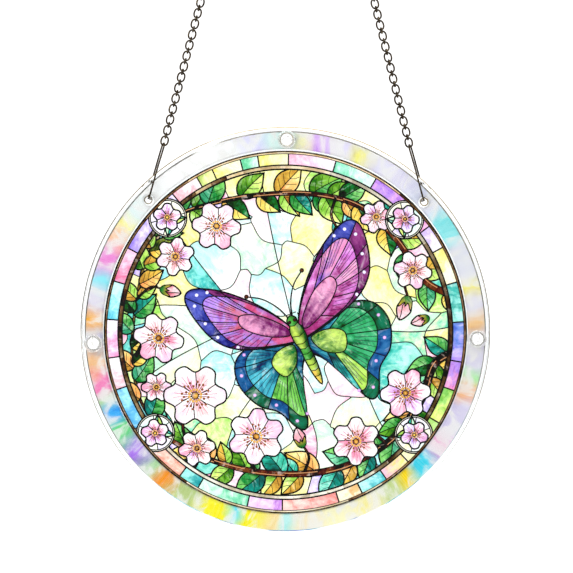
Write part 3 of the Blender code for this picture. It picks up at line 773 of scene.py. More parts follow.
def printPicture(material):
    seams = [(smoothLine(line, 8), False) for line in (lowerBranch, upperBranch)]
    seams += [(spoke(angle, 79, 90), False) for angle in borderSeams]
    spots, faces, top, panes, leads = arrange(seams)
    print("picture:", len(faces), "facets,", len(set(panes)), "panes,", len(leads), "lengths of line")

    # distance of every point from the nearest line, so that colour can gather there
    tree = KDTree(2 * len(leads))
    for index, (one, two, *_) in enumerate(leads):
        tree.insert((*spots[one], 0), 2 * index)
        tree.insert((*((spots[one] + spots[two]) / 2), 0), 2 * index + 1)
    tree.balance()
    openness = np.array([min(tree.find((*spot, 0))[2] / picture["gather"], 1) for spot in spots])

    # which puzzle piece carries each facet
    corners, sheets, owners = [], [], []
    for name in puzzleNodes:
        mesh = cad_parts[name].data
        start = len(corners)
        corners += [vertex.co.copy() for vertex in mesh.vertices]
        for face in mesh.polygons:
            if face.normal.y < -0.9:
                sheets.append([start + at for at in face.vertices])
                owners.append(name)
    carrier = BVHTree.FromPolygons(corners, sheets)
    centres = spots[faces].mean(axis=1)
    owner = [None] * len(faces)
    for index, (u, v) in enumerate(centres):
        if top[index] >= 0:
            place = Vector((pictureCentre.x + u * mm, puzzleLow.y, pictureCentre.z + v * mm))
            owner[index] = owners[carrier.find_nearest(place)[2]]

    # colours of each pane
    paints = {}
    for pane in set(panes[top >= 0]):
        members = np.nonzero(panes == pane)[0]
        a, b, c = (spots[faces[members, at]] for at in range(3))
        ab, ac = b - a, c - a
        area = np.abs(ab[:, 0] * ac[:, 1] - ab[:, 1] * ac[:, 0]) + 1e-9
        u, v = (centres[members] * area[:, None]).sum(axis=0) / area.sum()
        dice = random.Random(round(u * 7) * 1009 + round(v * 7) + 17)
        shape = shapes[top[members[0]]]
        near, far, local = shape["paint"](u, v, dice)
        flow = (shape["cloud"], dice.uniform(0, 90), shape["rays"])
        paints[pane] = (colour(near), colour(far), local, flow)

    # coloured facets and black lines, sorted to the pieces
    sheets = {name: dict(points=[], index={}, faces=[], near=[], far=[], local=[], flow=[])
              for name in puzzleNodes}

    def addFace(sheet, ring, raised, near, far, places, flow):
        face = []
        for u, v in ring:
            key = (round(u, 4), round(v, 4), raised)
            if key not in sheet["index"]:
                sheet["index"][key] = len(sheet["points"])
                sheet["points"].append((u, v, raised))
            face.append(sheet["index"][key])
        if len(set(face)) < len(face):
            return
        sheet["faces"].append(face)
        sheet["near"] += [near] * len(ring)
        sheet["far"] += [far] * len(ring)
        sheet["local"] += places
        sheet["flow"] += [flow] * len(ring)

    for index, face in enumerate(faces):
        if top[index] < 0:
            continue
        near, far, local, flow = paints[panes[index]]
        ring = [tuple(spots[at]) for at in face]
        places = [(*local(u, v), openness[at]) for (u, v), at in zip(ring, face)]
        addFace(sheets[owner[index]], ring, 0, near, far, places, flow)
    ends = cornerPoints(spots, leads)
    for index, (one, two, _, shade, left, right) in enumerate(leads):
        tint = colour(ink[shade])
        for face, start, stop in ((left, one, two), (right, two, one)):
            if face is not None:
                inked = (ends[(index, stop, "right")], ends[(index, start, "left")])
                ring = [tuple(spot) for spot in (spots[start], spots[stop], *inked)]
                addFace(sheets[owner[face]], ring, 1, tint, tint, [(0, 0, 1)] * 4, (0, 0, 0))

    # the same print on the front and on the back of every piece
    for name, sheet in sheets.items():
        flat = np.array(sheet["points"])
        verts = []
        for level, towards in ((puzzleLow.y, -1), (puzzleHigh.y, 1)):
            depth = level + towards * (picture["inkFront"] + picture["lineFront"] * flat[:, 2])
            across, up = pictureCentre.x + flat[:, 0] * mm, pictureCentre.z + flat[:, 1] * mm
            verts.append(np.column_stack((across, depth, up)))
        count = len(flat)
        back = [[count + at for at in face[::-1]] for face in sheet["faces"]]
        mesh = bpy.data.meshes.new("print_" + name)
        mesh.from_pydata(np.vstack(verts).tolist(), [], sheet["faces"] + back)
        for key, kind, field in (("near", "FLOAT_COLOR", "color"), ("far", "FLOAT_COLOR", "color"),
                                 ("local", "FLOAT_VECTOR", "vector"), ("flow", "FLOAT_VECTOR", "vector")):
            values, at = [], 0
            for face in sheet["faces"]:
                values += sheet[key][at:at + len(face)][::-1]
                at += len(face)
            layer = mesh.attributes.new(key, kind, "CORNER")
            layer.data.foreach_set(field, np.array(sheet[key] + values, dtype=np.float32).ravel())
        addPiece("print_" + name, mesh, material, smoothTo=0)
    count = 2 * sum(len(sheet["faces"]) for sheet in sheets.values())
    print("picture: printed on", len(sheets), "pieces,", count, "faces")


# UV-cured ink printed on laser-cut acrylic: satin, run like art glass, with pools of deep colour,
# white wisps, and deeper still beside the lines.
def makeUvPrint():
    material, tree, shader, place = newMaterial("uvPrintedAcrylic")
    near, far = [addNode(tree, "Attribute", attribute_name=name).outputs["Color"] for name in ("near", "far")]
    local, flow = [addNode(tree, "Attribute", attribute_name=name).outputs["Vector"]
                   for name in ("local", "flow")]
    across, up, openness = addNode(tree, "SeparateXYZ", {0: local}).outputs
    cloud, seed, fanned = addNode(tree, "SeparateXYZ", {0: flow}).outputs
    flat = addNode(tree, "VectorMath", {0: local, 1: (1, 1, 0)}, operation="MULTIPLY").outputs[0]
    reach = addNode(tree, "VectorMath", {0: flat}, operation="LENGTH").outputs["Value"]
    # runs of colour about 7 mm long
    run = addNode(tree, "TexNoise", {"Vector": place, "W": seed, "Scale": 1 / (7 * mm), "Detail": 4,
                                     "Roughness": 0.6, "Distortion": 1.4},
                  noise_dimensions="4D").outputs["Fac"]
    sway = addNode(tree, "Math", {0: run, 1: 0.5}, operation="SUBTRACT").outputs[0]
    swayed = addNode(tree, "Math", {0: sway, 1: cloud}, operation="MULTIPLY").outputs[0]
    flowing = addNode(tree, "Math", {0: swayed, 1: 2.6, 2: reach}, operation="MULTIPLY_ADD").outputs[0]
    # streaks that fan out from a petal's or wing's root, some twenty to the full turn
    turn = addNode(tree, "Math", {0: up, 1: across}, operation="ARCTAN2").outputs[0]
    turned = addNode(tree, "Math", {0: turn, 1: 6.0}, operation="MULTIPLY").outputs[0]
    fan = addNode(tree, "CombineXYZ", {0: turned, 1: reach, 2: seed}).outputs[0]
    streak = addNode(tree, "TexNoise", {"Vector": fan, "Scale": 1.0, "Detail": 3,
                                        "Roughness": 0.6}).outputs["Fac"]
    offset = addNode(tree, "Math", {0: streak, 1: 0.5}, operation="SUBTRACT").outputs[0]
    fanning = addNode(tree, "Math", {0: offset, 1: fanned}, operation="MULTIPLY").outputs[0]
    both = addNode(tree, "Math", {0: fanning, 1: 2.2, 2: flowing}, operation="MULTIPLY_ADD").outputs[0]
    eased = addNode(tree, "MapRange", {"Value": both}, interpolation_type="SMOOTHSTEP").outputs[0]
    body = addNode(tree, "Mix", {0: eased, 6: near, 7: far}, data_type="RGBA").outputs[2]
    # pools and wisps 2.8 mm wide and 7 mm long, lying another way in every pane
    askew = addNode(tree, "Math", {0: seed, 1: 5.0}, operation="MULTIPLY").outputs[0]
    laid = addNode(tree, "VectorRotate", {"Vector": place, "Axis": (0, 1, 0), "Angle": askew}).outputs[0]
    wisp = (1 / (2.8 * mm), 1 / (2.8 * mm), 1 / (7 * mm))
    drawn = addNode(tree, "VectorMath", {0: laid, 1: wisp}, operation="MULTIPLY").outputs[0]
    pool = addNode(tree, "TexNoise", {"Vector": drawn, "W": seed, "Scale": 1.0, "Detail": 4,
                                      "Roughness": 0.58, "Distortion": 0.7},
                   noise_dimensions="4D").outputs["Fac"]
    low = addNode(tree, "MapRange", {"Value": pool, "From Min": 0.52, "From Max": 0.36, "To Max": 0.65},
                  interpolation_type="SMOOTHSTEP").outputs[0]
    pooled = addNode(tree, "Math", {0: low, 1: cloud}, operation="MULTIPLY").outputs[0]
    closed = addNode(tree, "Math", {0: 1.0, 1: openness}, operation="SUBTRACT").outputs[0]
    gathered = addNode(tree, "Math", {0: closed, 1: 0.5, 2: pooled}, operation="MULTIPLY_ADD",
                       use_clamp=True).outputs[0]
    deep = addNode(tree, "Mix", {0: gathered, 6: body, 7: body}, data_type="RGBA",
                   blend_type="MULTIPLY").outputs[2]
    high = addNode(tree, "MapRange", {"Value": pool, "From Min": 0.54, "From Max": 0.7, "To Max": 0.7},
                   interpolation_type="SMOOTHSTEP").outputs[0]
    milky = addNode(tree, "Math", {0: high, 1: cloud}, operation="MULTIPLY").outputs[0]
    paler = addNode(tree, "Mix", {0: 0.45, 6: far, 7: colour("#fffef8")}, data_type="RGBA").outputs[2]
    veiled = addNode(tree, "Mix", {0: milky, 6: deep, 7: paler}, data_type="RGBA").outputs[2]
    soft = addNode(tree, "HueSaturation", {"Color": veiled, "Saturation": 0.9}).outputs[0]
    crisp = addNode(tree, "BrightContrast", {"Color": soft, "Bright": 0.075, "Contrast": 0.22}).outputs[0]
    setInputs(tree, shader, {"Base Color": crisp, "Roughness": 0.45, "Specular IOR Level": 0.12})
    return material


printPicture(makeUvPrint())


def roundSheet(name, loops, front, back, bevel, paintedEdgeLoops=()):
    # sheet with round holes: loops are centre, radius and side count, the outline first;
    # the front chamfers of the loops named in the last argument take the second material, the painted edge
    # reflection
    verts, faces, rims = [], [], []
    for order, (u, v, radius, count) in enumerate(loops):
        inward = -bevel if order == 0 else bevel
        rings = []
        for depth, grow in ((front, inward), (front + bevel, 0), (back - bevel, 0), (back, inward)):
            rings.append(range(len(verts), len(verts) + count))
            verts += [(u + a, depth, v + b) for a, b in circle(radius + grow, count)]
        faces += lofted(rings) if order == 0 else [quad[::-1] for quad in lofted(rings)]
        rims.append(rings)
    for level, flip in ((0, False), (3, True)):
        numbers = [rings[level] for rings in rims]
        flat = [at for ring in numbers for at in ring]
        polygons = [[Vector((verts[at][0], verts[at][2], 0)) for at in ring] for ring in numbers]
        for triangle in tessellate_polygon(polygons):
            a, b, c = [flat[at] for at in triangle]
            pa, pb, pc = verts[a], verts[b], verts[c]
            turn = (pb[0] - pa[0]) * (pc[2] - pa[2]) - (pb[2] - pa[2]) * (pc[0] - pa[0])
            if abs(turn) > 1e-14:    # not a sliver
                faces.append([a, b, c] if (turn > 0) != flip else [a, c, b])
    mesh = solidMesh(name, verts, faces)
    for face in mesh.polygons:
        x, _, z = face.center
        near = any(abs(hypot(x - u, z - v) - radius) < 1.2 * bevel
                   for u, v, radius, _ in (loops[at] for at in paintedEdgeLoops))
        face.material_index = 1 if near and -0.95 < face.normal.y < -0.3 else 0
    return mesh


disc = dict(radius=100 * mm, margin=1.8 * mm, opening=89.5 * mm, polish=0.58 * mm, filmPolish=0.62 * mm,
            sides=288)
screws = dict(circle=93.8 * mm, angles=dict(top=0, right=91.5, left=-93.6), shank=2.5 * mm, head=4.3 * mm,
              flat=3.7 * mm, height=1.9 * mm, slotWidth=0.9 * mm, slotDepth=0.8 * mm, nut=4.6 * mm,
              nutHeight=2.4 * mm)
hooks = dict(circle=92.8 * mm, angle=46.3, hole=1.5 * mm, filmHole=2.6 * mm, wire=0.42 * mm, length=28.2 * mm,
             inward=0.55 * mm, outward=1.75 * mm, eye=1.2 * mm)
gap = 0.3 * mm
plasticIor = 1.49


def onDisc(angle, distance):
    turn = radians(angle)
    return discCentre.x + distance * sin(turn), discCentre.z + distance * cos(turn)


def sheetLoop(radius):
    return discCentre.x, discCentre.z, radius, disc["sides"]


screwHoles = [(*onDisc(angle, screws["circle"]), screws["shank"] + gap, 40)
              for angle in screws["angles"].values()]
hookSpots = [onDisc(side * hooks["angle"], hooks["circle"]) for side in (-1, 1)]


# Cast acrylic (PMMA), laser-cut and flame-polished, and moulded nylon: water-clear and glossy.
def makeClearPlastic(name, roughness, tint, clear=1.0):
    looks = {"Roughness": roughness, "IOR": plasticIor, "Transmission Weight": clear}
    return makeMottled(name, 30 * mm, "#ffffff", tint, looks)


def turnShare(tree, place):
    # share of a full turn about the disc's centre, clockwise from the top, and the distance from it
    offset = addNode(tree, "VectorMath", {0: place, 1: tuple(discCentre)}, operation="SUBTRACT").outputs[0]
    flat = addNode(tree, "VectorMath", {0: offset, 1: (1, 0, 1)}, operation="MULTIPLY").outputs[0]
    across, _, up = addNode(tree, "SeparateXYZ", {0: flat}).outputs
    turn = addNode(tree, "Math", {0: across, 1: up}, operation="ARCTAN2").outputs[0]
    share = addNode(tree, "Math", {0: turn, 1: 1 / (2 * pi), 2: 1.0}, operation="MULTIPLY_ADD").outputs[0]
    return share, addNode(tree, "VectorMath", {0: flat}, operation="LENGTH").outputs["Value"]


# clockwise from the top: painted reflection on the film's cut edge, dark at the top and sides, painted glints
# in the film's colours below, and a painted highlight at the upper left
filmEdgeReflectionTones = (
    (0, "#3a280e"), (60, "#4c4230"), (100, "#56544c"), (120, "#86989a"), (137, "#e8ece8"), (138, "#067c90"),
    (149, "#2c98a8"), (150, "#eef0ea"), (158, "#eef0ea"), (159, "#0a5a98"), (161, "#eef0ea"),
    (169, "#eef0ea"), (171, "#067c90"), (177, "#0c50b4"), (184, "#066c90"), (186, "#eef0ea"),
    (193, "#eef0ea"), (195, "#084c78"), (200, "#2488a0"), (202, "#eef0ea"), (206, "#4498ac"),
    (217, "#88b4bc"), (222, "#a8aea8"), (245, "#5c5a4e"), (262, "#4a483e"), (300, "#443824"),
    (318, "#302410"), (332, "#40321c"), (334, "#eceae4"), (339, "#eceae4"), (341, "#4c3a20"),
    (360, "#3a280e"),
)
# and the painted reflection on the cover's cut edges: less at the top, thin grey at the sides, hardly
# anything below
coverEdgeReflectionTones = (
    (0, "#8c7a50"), (30, "#7e6e4c"), (70, "#565040"), (105, "#5c584c"), (130, "#a4a49e"), (160, "#dededa"),
    (210, "#dededa"), (235, "#7c7a6e"), (262, "#4a463c"), (295, "#3e3a2e"), (325, "#665a3e"),
    (360, "#8c7a50"),
)


# The same acrylic where its cut edge is chamfered, with its reflection painted on: a fine line, dark or
# coloured by its angle round the disc, that fades in places.
def makeEdgeWithPaintedReflection(name, tones, fade):
    material, tree, shader, place = newMaterial(name)
    turns, _ = turnShare(tree, place)
    share = addNode(tree, "Math", {0: turns}, operation="FRACT").outputs[0]
    tone = addNode(tree, "ValToRGB", {0: share}, [(start / 360, shade) for start, shade in tones]).outputs[0]
    # noise that fades the painted reflection line in places
    edgeFadeNoise = addNode(tree, "TexNoise", {"Vector": place, "Scale": 1 / (22 * mm), "Detail": 2,
                                      "Roughness": 0.6}).outputs["Fac"]
    faded = addNode(tree, "MapRange", {"Value": edgeFadeNoise, "From Min": 0.54, "From Max": 0.74,
                                       "To Max": fade}).outputs[0]
    # painted reflection on the chamfer, mixed towards near white where it fades
    paintedEdgeLine = addNode(tree, "Mix", {0: faded, 6: tone, 7: colour("#f2f0ea")}, data_type="RGBA").outputs[2]
    setInputs(tree, shader, {"Base Color": paintedEdgeLine, "Roughness": 0.3, "IOR": plasticIor})
    return material


# clockwise from the top: where each band of the film's colour starts, and its colour; the white band from 312
# to 346 degrees is a painted highlight, the glare of the light at the upper left
filmColoursAndPaintedGlare = (
    (0, "#dff6f2"), (3, "#fbf8c4"), (7, "#dfb6f6"), (13, "#e2dcf4"), (21, "#f6f192"), (26, "#e6e2f4"),
    (40, "#e4e6f4"), (52, "#9cecee"), (61, "#e4e4ee"), (74, "#faf27c"), (78, "#e4e0f0"), (84, "#fbd29a"),
    (89, "#e0dcee"), (101, "#b9f0b0"), (105, "#fcc08a"), (111, "#dcd4ee"), (122, "#f79cd4"),
    (129, "#4fdcf0"), (137, "#fbdc1e"), (142, "#c4d888"), (150, "#faf0a0"), (158, "#fbf6c8"),
    (170, "#faecc8"), (177, "#c0f0ec"), (181, "#fae8b4"), (187, "#fdf21c"), (193, "#5ce4f2"),
    (197, "#fdf43a"), (207, "#bcd086"), (216, "#fca03c"), (221, "#b4dca8"), (228, "#b27cf0"),
    (234, "#6ade88"), (241, "#4ab4f8"), (247, "#b4d8a8"), (251, "#fa92c6"), (258, "#fccc98"),
    (264, "#dcd8ea"), (271, "#fdb844"), (276, "#dcd6ea"), (283, "#a4f0f8"), (288, "#f29ade"),
    (296, "#fccca4"), (301, "#fbf6a8"), (306, "#dff4f2"), (312, "#ffffff"), (346, "#e4e0fa"),
    (353, "#dff6f2"),
)


# Holographic PET film bonded to acrylic: washes of spectral colour that run out from the middle,
# pearly grey between them, under high gloss.
def makeIridescentFilm():
    material, tree, shader, place = newMaterial("iridescentFilmAcrylic")
    turns, distance = turnShare(tree, place)
    # the washes waver by a few degrees over 14 mm
    waver = addNode(tree, "TexNoise", {"Vector": place, "Scale": 1 / (14 * mm), "Detail": 3}).outputs["Fac"]
    wavered = addNode(tree, "Math", {0: waver, 1: 0.02, 2: turns}, operation="MULTIPLY_ADD").outputs[0]
    evened = addNode(tree, "Math", {0: wavered, 1: 0.01}, operation="SUBTRACT").outputs[0]
    share = addNode(tree, "Math", {0: evened}, operation="FRACT").outputs[0]
    sectors = 6                   # a colour ramp holds 32 stops, so the turn is shared out
    width = 360 / sectors
    softness, shortest = 2.4, 0.02     # half the blur between two bands, and the least step, in degrees
    starts = [start for start, _ in filmColoursAndPaintedGlare] + [360]
    widths = [after - start for start, after in zip(starts, starts[1:])]
    mixed = None
    for low in (width * sector for sector in range(sectors)):
        high = low + width
        ruling = [shade for start, shade in filmColoursAndPaintedGlare if start <= low][-1]
        stops = [(0.0, ruling)]
        for number, (start, shade) in enumerate(filmColoursAndPaintedGlare):
            if low < start < high:
                soft = min(softness, 0.44 * widths[number - 1], 0.44 * widths[number])
                stops.append(((max(start - soft, low + shortest) - low) / width, ruling))
                stops.append(((min(start + soft, high - shortest) - low) / width, shade))
                ruling = shade
        stops.append((1.0, ruling))
        within = addNode(tree, "MapRange", {"Value": share, "From Min": low / 360,
                                            "From Max": high / 360}).outputs[0]
        washes = addNode(tree, "ValToRGB", {0: within}, stops).outputs[0]
        if mixed is None:
            mixed = washes
        else:
            past = addNode(tree, "Math", {0: share, 1: low / 360}, operation="GREATER_THAN").outputs[0]
            mixed = addNode(tree, "Mix", {0: past, 6: mixed, 7: washes}, data_type="RGBA").outputs[2]
    # pearly clouds about 8 mm across, drawn out along the rays
    sideways = addNode(tree, "Math", {0: turns, 1: 2 * pi * 95 / 8}, operation="MULTIPLY").outputs[0]
    outwards = addNode(tree, "Math", {0: distance, 1: 1 / (14 * mm)}, operation="MULTIPLY").outputs[0]
    spread = addNode(tree, "CombineXYZ", {0: sideways, 1: outwards}).outputs[0]
    clouds = addNode(tree, "TexNoise", {"Vector": spread, "Scale": 1.0, "Detail": 4, "Roughness": 0.55,
                                        "Distortion": 0.8}).outputs["Fac"]
    veil = addNode(tree, "MapRange", {"Value": clouds, "From Min": 0.44, "From Max": 0.62, "To Max": 0.8},
                   interpolation_type="SMOOTHSTEP").outputs[0]
    pearly = addNode(tree, "Mix", {0: veil, 6: mixed, 7: colour("#f2f0ee")}, data_type="RGBA").outputs[2]
    shade = addNode(tree, "MapRange", {"Value": clouds, "From Min": 0.46, "From Max": 0.3, "To Max": 0.5},
                    interpolation_type="SMOOTHSTEP").outputs[0]
    shaded = addNode(tree, "Mix", {0: shade, 6: pearly, 7: pearly}, data_type="RGBA",
                     blend_type="MULTIPLY").outputs[2]
    # fine rays, a third of a degree wide
    close = addNode(tree, "Math", {0: turns, 1: 1000.0}, operation="MULTIPLY").outputs[0]
    fine = addNode(tree, "CombineXYZ", {0: close}).outputs[0]
    rays = addNode(tree, "TexNoise", {"Vector": fine, "Scale": 1.0, "Detail": 2}).outputs["Fac"]
    lift = addNode(tree, "MapRange", {"Value": rays, "From Min": 0.3, "From Max": 0.7,
                                      "To Max": 0.14}).outputs[0]
    frosted = addNode(tree, "Mix", {0: lift, 6: shaded, 7: colour("#fdfcff")}, data_type="RGBA").outputs[2]
    toned = addNode(tree, "HueSaturation", {"Color": frosted, "Saturation": 1.08, "Value": 0.905}).outputs[0]
    setInputs(tree, shader, {"Base Color": toned, "Roughness": 0.22, "Specular IOR Level": 0.25})
    return material


clearAcrylic = makeClearPlastic("castAcrylicPolished", 0.0, "#fafdfd")
# painted reflection along the cut edges of the cover and of the film ring
coverEdgePaintedReflection = makeEdgeWithPaintedReflection("laserCutAcrylicEdgePaintedReflection", coverEdgeReflectionTones, 0.3)
filmEdgePaintedReflection = makeEdgeWithPaintedReflection("filmedAcrylicEdgePaintedReflection", filmEdgeReflectionTones, 0.5)
film = makeIridescentFilm()
for name, (low, high) in (("front_cover", coverBox), ("back_plate", plateBox)):
    loops = [sheetLoop(disc["radius"])] + screwHoles + [(*spot, hooks["hole"], 36) for spot in hookSpots]
    # only the cover's edges get the painted reflection that draws them as lines: its rim, and the holes round
    # screws and hooks
    mesh = roundSheet(name, loops, low.y, high.y, disc["polish"], range(6) if name == "front_cover" else ())
    addPiece("clear_" + name, mesh, clearAcrylic, [name], smoothTo=20, edge=coverEdgePaintedReflection)
loops = [sheetLoop(disc["radius"] - disc["margin"]), sheetLoop(disc["opening"])] + screwHoles
loops += [(*spot, hooks["filmHole"], 40) for spot in hookSpots]
low, high = [Vector(corner).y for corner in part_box("frame_ring")]
mesh = roundSheet("iridescent_ring", loops, low, high, disc["filmPolish"], (0,))
addPiece("iridescent_ring", mesh, film, ["frame_ring"], smoothTo=20, edge=filmEdgePaintedReflection)
print("sheets: two clear, one iridescent")


# White acrylic core of the puzzle pieces: satin, seen only along their laser-cut edges.
whiteCore = makeMottled("whiteAcrylicCore", 3 * mm, "#f6f6f2", "#ffffff", {"Roughness": 0.35})
for name in puzzleNodes:
    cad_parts[name].data.materials.clear()
    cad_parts[name].data.materials.append(whiteCore)


def turnedMesh(name, profile, place, steps):
    # solid of revolution about the Y axis, from pairs of radius and depth
    verts, rings = [], []
    for radius, depth in profile:
        if radius:
            rings.append(range(len(verts), len(verts) + steps))
            verts += [(place[0] + a, depth, place[1] + b) for a, b in circle(radius, steps)]
        else:
            rings.append([len(verts)] * steps)
            verts.append((place[0], depth, place[1]))
    return solidMesh(name, verts, [list(dict.fromkeys(face)) for face in lofted(rings)])


def cutSlot(mesh, place, top, angle):
    # screwdriver slot across the head
    body = bpy.data.objects.new("head", mesh)
    box = bpy.data.meshes.new("slot")
    work = bmesh.new()
    turned = Matrix.Translation((place[0], top, place[1])) @ Matrix.Rotation(radians(angle), 4, "Y")
    size = Matrix.Diagonal((3 * screws["head"], 2 * screws["slotDepth"], screws["slotWidth"], 1))
    bmesh.ops.create_cube(work, size=1, matrix=turned @ size)
    work.to_mesh(box)
    work.free()
    cutter = bpy.data.objects.new("slot", box)
    for thing in (body, cutter):
        bpy.context.scene.collection.objects.link(thing)
    cut = body.modifiers.new("slot", "BOOLEAN")
    cut.operation, cut.solver, cut.object = "DIFFERENCE", "EXACT", cutter
    bpy.context.view_layer.update()
    made = bpy.data.meshes.new_from_object(body.evaluated_get(bpy.context.evaluated_depsgraph_get()))
    for thing in (body, cutter):
        bpy.data.objects.remove(thing, do_unlink=True)
    return made


def hexNut(name, place, front, back, radius, bore):
    # hexagon with chamfered corners and a round bore
    count = 36
    edge = 0.35 * mm
    turns = [2 * pi * at / count for at in range(count)]
    flank = [radius * cos(pi / 6) / cos((turn + pi / 6) % (pi / 3) - pi / 6) for turn in turns]
    face = [min(reach, radius * 0.9) for reach in flank]
    rows = ((front, [bore] * count), (front, face), (front + edge, flank), (back - edge, flank), (back, face),
            (back, [bore] * count))
    verts = [(place[0] + reach * sin(turn), depth, place[1] + reach * cos(turn))
             for depth, row in rows for turn, reach in zip(turns, row)]
    rings = [range(start, start + count) for start in range(0, len(verts), count)]
    return solidMesh(name, verts, lofted(rings, True))


nylon = makeClearPlastic("mouldedClearNylon", 0.08, "#f4f4f0", 0.85)
nylonEdgeShade = makeClearPlastic("nylonEdgePaintedShade", 0.3, "#a8a394", 0.15)    # painted shade: a duller, darker tint along its edges that draws them as lines
head, flat, shank = screws["head"], screws["flat"], screws["shank"]
front, back = coverBox[0].y - gap, plateBox[1].y + gap
top, end = front - screws["height"], back + screws["nutHeight"]
bevel = head - flat
profile = [(0, top), (flat, top)]
for turn in (22, 45, 68, 90):
    profile.append((flat + bevel * sin(radians(turn)), top + bevel * (1 - cos(radians(turn)))))
profile += [(head, front - 0.15 * mm), (head - 0.15 * mm, front), (shank, front), (shank, end + gap),
            (shank - 0.3 * mm, end + 3 * gap), (0, end + 3 * gap)]
for name, angle in screws["angles"].items():
    place = onDisc(angle, screws["circle"])
    mesh = cutSlot(turnedMesh("screw", profile, place, 48), place, top, angle)
    for face in mesh.polygons:       # painted shade: the head's wall and the slot's sides take the darker edge tint, seen as fine lines
        reach = hypot(face.center.x - place[0], face.center.z - place[1])
        outer, slot = reach > head - 0.12 * mm, reach < flat - 0.2 * mm and face.center.y < front - gap
        face.material_index = 1 if (outer or slot) and abs(face.normal.y) < 0.5 else 0
    addPiece("clear_screw_" + name, mesh, nylon, ["screw_" + name], smoothTo=30, edge=nylonEdgeShade)
    mesh = hexNut("nut", place, back, end, screws["nut"], shank + 0.1 * mm)
    addPiece("clear_nut_" + name, mesh, nylon, ["nut_" + name], smoothTo=30)
print("screws: three, each with its nut")


def wireLoop(points, radius, sides, placing):
    # closed loop of round wire; points lie in the XZ plane
    verts = []
    for at, (u, v) in enumerate(points):
        before, after = points[at - 1], points[(at + 1) % len(points)]
        du, dv = after[0] - before[0], after[1] - before[1]
        length = hypot(du, dv)
        out = (dv / length, -du / length)
        for step in range(sides):
            a = 2 * pi * step / sides
            spot = Vector((u + out[0] * radius * cos(a), radius * sin(a), v + out[1] * radius * cos(a)))
            verts.append(placing @ spot)
    rings = [range(start, start + sides) for start in range(0, len(verts), sides)]
    return verts, lofted(rings, True)


def joined(name, loops):
    verts, faces = [], []
    for some, rings in loops:
        start = len(verts)
        verts += some
        faces += [[start + at for at in face] for face in rings]
    return solidMesh(name, verts, faces)


chain = dict(wire=0.88 * mm, ovalLength=5.4 * mm, ovalWidth=4.3 * mm, smallLength=3.458 * mm,
             smallWidth=3.0 * mm, pitches=43, ringRadius=6.9 * mm, ringWire=0.6 * mm)
ringCentre = Vector((0, 0, chain["ringWire"] - chain["ringRadius"]))
halfOval = (chain["ovalLength"] - chain["wire"]) / 2
halfSmall = (chain["smallLength"] - chain["wire"]) / 2
firstLink = chain["ringRadius"] - chain["ringWire"] - chain["wire"] / 2 - gap + halfOval
secondLink = firstLink + 2 * halfOval - chain["wire"]
pitch = 2 * (halfOval + halfSmall - chain["wire"])
lastLink = secondLink + chain["pitches"] * pitch
hookTop = lastLink + halfOval - chain["wire"] / 2 - hooks["wire"] - gap
hookBottom = hookTop + hooks["length"]
holeAcross = hooks["circle"] * sin(radians(hooks["angle"]))
holeDown = ringCentre.z - (discCentre.z + hooks["circle"] * cos(radians(hooks["angle"])))
lean = atan2(holeAcross, holeDown)


def link(length, width):
    # oval of wire, a little fuller than an ellipse
    a, b = (width - chain["wire"]) / 2, (length - chain["wire"]) / 2
    turns = [2 * pi * at / 26 for at in range(26)]
    power = 2 / 2.25
    return [(a * abs(sin(turn)) ** power * (1 if sin(turn) >= 0 else -1),
             b * abs(cos(turn)) ** power * (1 if cos(turn) >= 0 else -1)) for turn in turns]


def hookPath(side):
    # the same long loop as the solid's: one leg before the disc, the other behind it
    wire, length, eye = hooks["wire"], hooks["length"], hooks["eye"]
    inside = (plateBox[1].y - coverBox[0].y) / 2 + 0.5 * gap
    legs = inside + 3 * wire
    # bow to either side, depth and height
    leg = ((0.5, 0.2, 0.6 * eye, length - 0.3 * eye), (1, 0.4, 0.95 * eye, length - eye),
           (1, 0.6, 0.42 * legs, 0.8 * length), (1, 0.83, 0.76 * legs, 0.6 * length),
           (1, 1, legs, 0.38 * length), (0.7, 0.8, legs, 3 * wire), (0.1, 0.1, legs - wire, 0.7 * wire),
           (0, 0, inside, 0))
    loop = [(0, 0, length)]
    loop += [(-side * hooks["inward"] * bow, -depth, height) for bow, _, depth, height in leg]
    loop += [(side * hooks["outward"] * bow, depth, height) for _, bow, depth, height in leg[::-1]]
    return [(across, depth, height - hookBottom) for across, depth, height in loop]


def roundWire(name, points, radius, placing):
    # bevelled curve through points in space, as a mesh
    curve = bpy.data.curves.new(name, "CURVE")
    curve.dimensions = "3D"
    curve.bevel_depth = radius
    curve.bevel_resolution = 3
    spline = curve.splines.new("POLY")
    line = smoothLine(points, 4, True)
    spline.points.add(len(line) - 1)
    for point, spot in zip(spline.points, line):
        point.co = (*(placing @ Vector(spot)), 1)
    spline.use_cyclic_u = True
    wire = bpy.data.objects.new(name, curve)
    bpy.context.scene.collection.objects.link(wire)
    bpy.context.view_layer.update()
    mesh = bpy.data.meshes.new_from_object(wire.evaluated_get(bpy.context.evaluated_depsgraph_get()))
    bpy.data.objects.remove(wire, do_unlink=True)
    return mesh


# Brass chain with an antique bronze plating, tumbled: dark olive brown, pale where it is rubbed.
def makeAntiqueBronze():
    material, tree, shader, place = newMaterial("antiqueBronzePlating")
    patina = addNode(tree, "TexNoise", {"Vector": place, "Scale": 1 / (1.2 * mm), "Detail": 4,
                                        "Roughness": 0.6}).outputs["Fac"]
    tone = addNode(tree, "ValToRGB", {0: patina},
                   ((0.3, "#1a140e"), (0.55, "#30281e"), (0.75, "#62563f"))).outputs[0]
    rubbed = addNode(tree, "MapRange", {"Value": patina, "From Min": 0.3, "From Max": 0.7, "To Min": 0.5,
                                        "To Max": 0.34}).outputs[0]
    setInputs(tree, shader, {"Base Color": tone, "Roughness": rubbed, "Metallic": 1.0})
    return material


